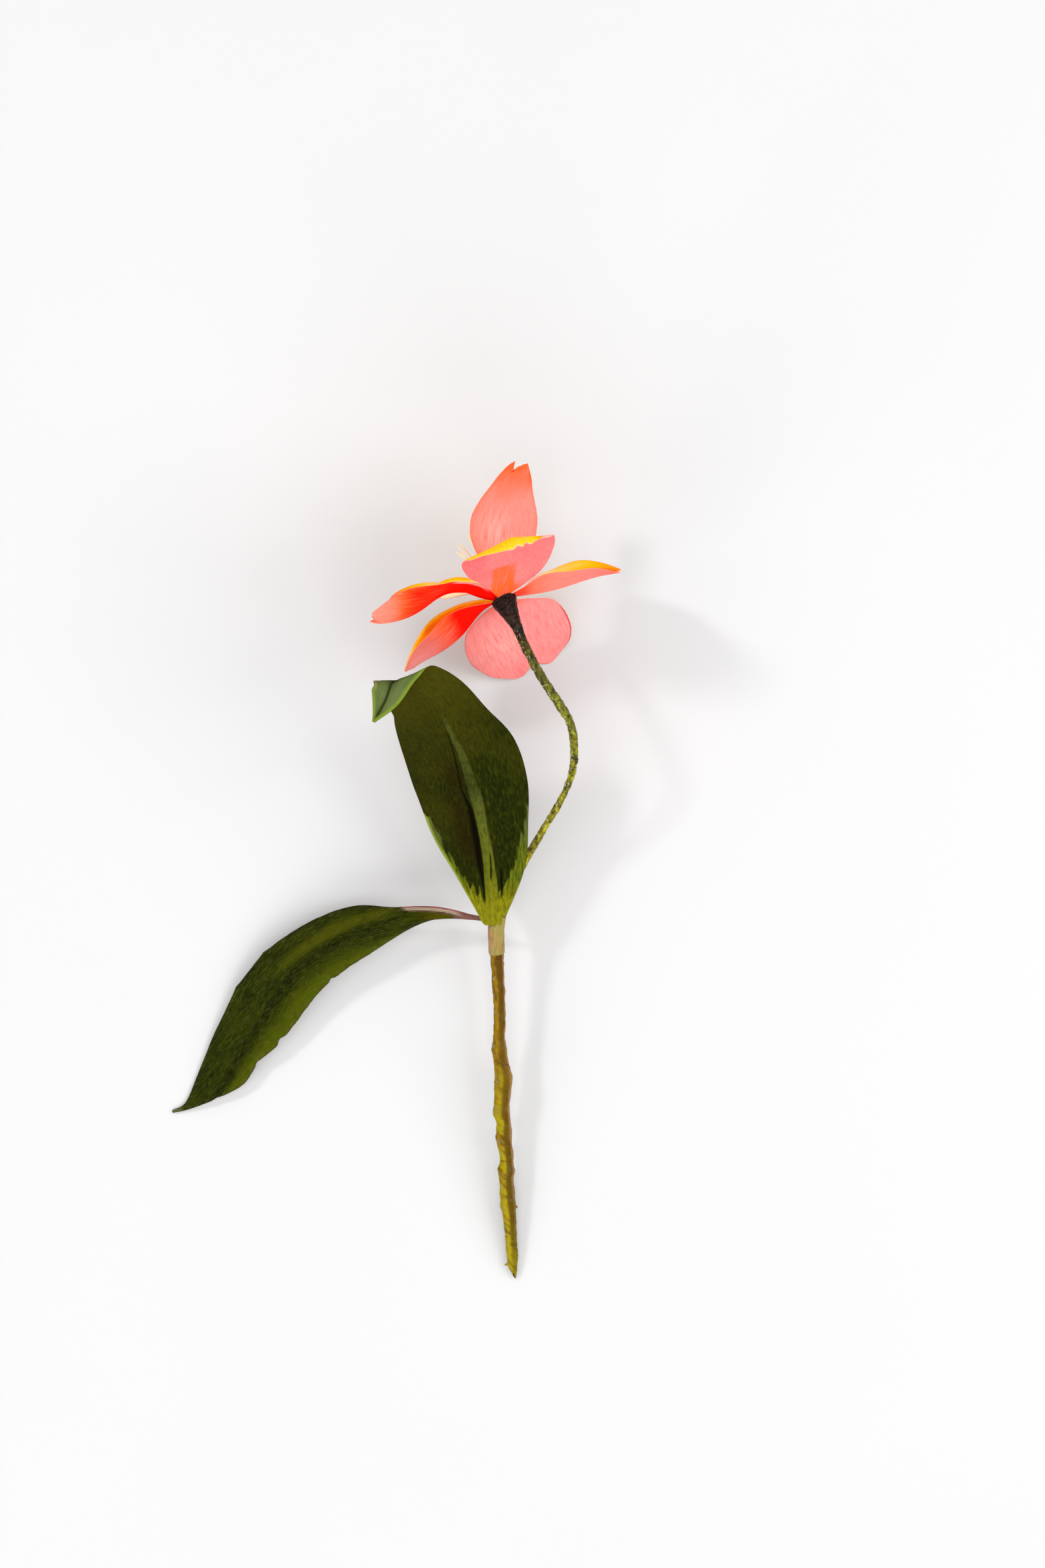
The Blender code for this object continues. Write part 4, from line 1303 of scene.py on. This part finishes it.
index = node(ring, "GeometryNodeInputIndex")
each = math_node(ring, "DIVIDE", 2 * math.pi, given["Threads"])
azimuth = plus(ring, times(ring, index, each), chance(-0.16, 0.16, 1))
lean = {"X": chance(-0.07, 0.07, 2), "Y": chance(-0.12, 0.12, 3), "Z": azimuth}
turn = node(ring, "ShaderNodeCombineXYZ", lean)
size = chance(0.84, 1.06, 4)
threads_made = node(ring, "GeometryNodeInstanceOnPoints",
                    {"Points": circle, "Instance": thread, "Rotation": turn, "Scale": size})
threads_made = node(ring, "GeometryNodeStoreNamedAttribute",
                    {"Geometry": threads_made, "Name": "tint", "Value": chance(0.0, 1.0, 5)},
                    data_type="FLOAT", domain="INSTANCE")
threads_made = node(ring, "GeometryNodeRealizeInstances", {"Geometry": threads_made})
threads_made = node(ring, "GeometryNodeSetShadeSmooth", {"Geometry": threads_made})
threads_made = node(ring, "GeometryNodeSetMaterial", {"Geometry": threads_made, "Material": thread_paper})
ring.links.new(threads_made, ring.nodes.new("NodeGroupOutput").inputs["Geometry"])

stamens = bpy.data.objects.new("stamen_threads", bpy.data.meshes.new("stamen_threads"))
bpy.context.scene.collection.objects.link(stamens)
maker = stamens.modifiers.new("Ring of threads", "NODES")
maker.node_group = ring
for name, (_, value) in THREAD_SIZES.items():
    maker[sockets[name].identifier] = value
graph = bpy.context.evaluated_depsgraph_get()
made = bpy.data.meshes.new_from_object(stamens.evaluated_get(graph), preserve_all_data_layers=True,
                                       depsgraph=graph)
stamens.modifiers.clear()
stamens.data = made
stamens.data.transform(bloom_place @ Matrix.Translation(Vector((0, 0, THREAD_SEAT)) * MM))
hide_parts("stamens")
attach(stamens, "root")

# The boss's side from its foot up: the height over the seat and the radius, in mm.
BOSS = ((0.35, 1.9), (2.4, 1.9), (3.2, 1.5), (3.6, 0.75))
BOSS_RINGS, BOSS_SIDES = 24, 40
points = []
for i in range(BOSS_RINGS + 1):
    height = through([row[0] for row in BOSS], i / BOSS_RINGS)
    radius = through([row[1] for row in BOSS], i / BOSS_RINGS)
    for k in range(BOSS_SIDES):
        angle = 2 * math.pi * k / BOSS_SIDES
        lump = 1 + 0.05 * noise.noise(Vector((3 * math.cos(angle), 3 * math.sin(angle), height)))
        spot = Vector((math.cos(angle) * lump * radius, math.sin(angle) * lump * radius, height))
        points.append(bloom_place @ (spot * MM))
boss = add_mesh("stamen_boss", points, tube_faces(BOSS_RINGS + 1, BOSS_SIDES), thread_paper,
                {"tint": [0.5] * len(points)})
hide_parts("stamens")
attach(boss, "root")

# The table, the light and the camera
# The stem lies on a plain pale table top. One small light at its upper left gives the glaze its
# glints, five broad soft ones and a white room fill the rest, and the camera looks straight down.
# Places and sizes here are in metres, and the camera stands 1.15 m above the table.
STEM_MIDDLE = Vector((0.03, 0.03, 0))
TABLE_HALF = 3
CAMERA_PLACE = Vector((47.9, 34.6, 1150)) * MM


def pale_table():
    """Even pale paint."""
    finish, tree = new_finish("plain pale table", 0.9, 0.05)
    clouds = grain(tree, object_place(tree), 6, 2)
    lay_on(tree, blend(tree, clouds, (0.550, 0.549, 0.553), (0.564, 0.563, 0.562)))
    return finish


table = bpy.data.meshes.new("table_top")
corners = [(x * TABLE_HALF, y * TABLE_HALF, 0) for x, y in ((-1, -1), (1, -1), (1, 1), (-1, 1))]
table.from_pydata(corners, [], [(0, 1, 2, 3)])
table.materials.append(pale_table())
table = bpy.data.objects.new("table_top", table)
bpy.context.scene.collection.objects.link(table)


def soft_light(name, place, size, power):
    """A flat soft light that faces the middle of the stem."""
    lamp = bpy.data.lights.new(name, "AREA")
    lamp.shape = "RECTANGLE"
    lamp.size, lamp.size_y = size
    lamp.energy = power
    held = bpy.data.objects.new(name, lamp)
    held.location = place
    held.rotation_euler = (STEM_MIDDLE - held.location).to_track_quat("-Z", "Y").to_euler()
    bpy.context.scene.collection.objects.link(held)


soft_light("light_upper_left", Vector((-0.90, 0.60, 1.05)), (0.15, 0.19), 7)
soft_light("light_right", Vector((1.25, 0.15, 1.00)), (1.0, 1.2), 18.4)
soft_light("light_below", Vector((0.15, -1.35, 0.95)), (1.3, 1.0), 11)
soft_light("light_above", Vector((0.20, 1.40, 1.00)), (1.2, 1.0), 5.6)
soft_light("light_low_left", Vector((-1.10, -0.85, 0.80)), (1.0, 1.0), 11)
soft_light("light_overhead", Vector((0.03, 0.03, 1.80)), (1.2, 1.2), 10)
room = bpy.data.worlds.new("white room")
room.use_nodes = True
room.node_tree.nodes["Background"].inputs["Color"].default_value = (1, 1, 1, 1)
room.node_tree.nodes["Background"].inputs["Strength"].default_value = 0.38
bpy.context.scene.world = room
bpy.context.scene.view_settings.view_transform = "Standard"

lens = bpy.data.cameras.new("camera")
lens.lens = 70
lens.sensor_width = 36
lens.clip_start = 0.05
lens.clip_end = 20
camera = bpy.data.objects.new("camera", lens)
camera.location = CAMERA_PLACE
bpy.context.scene.collection.objects.link(camera)
bpy.context.scene.camera = camera
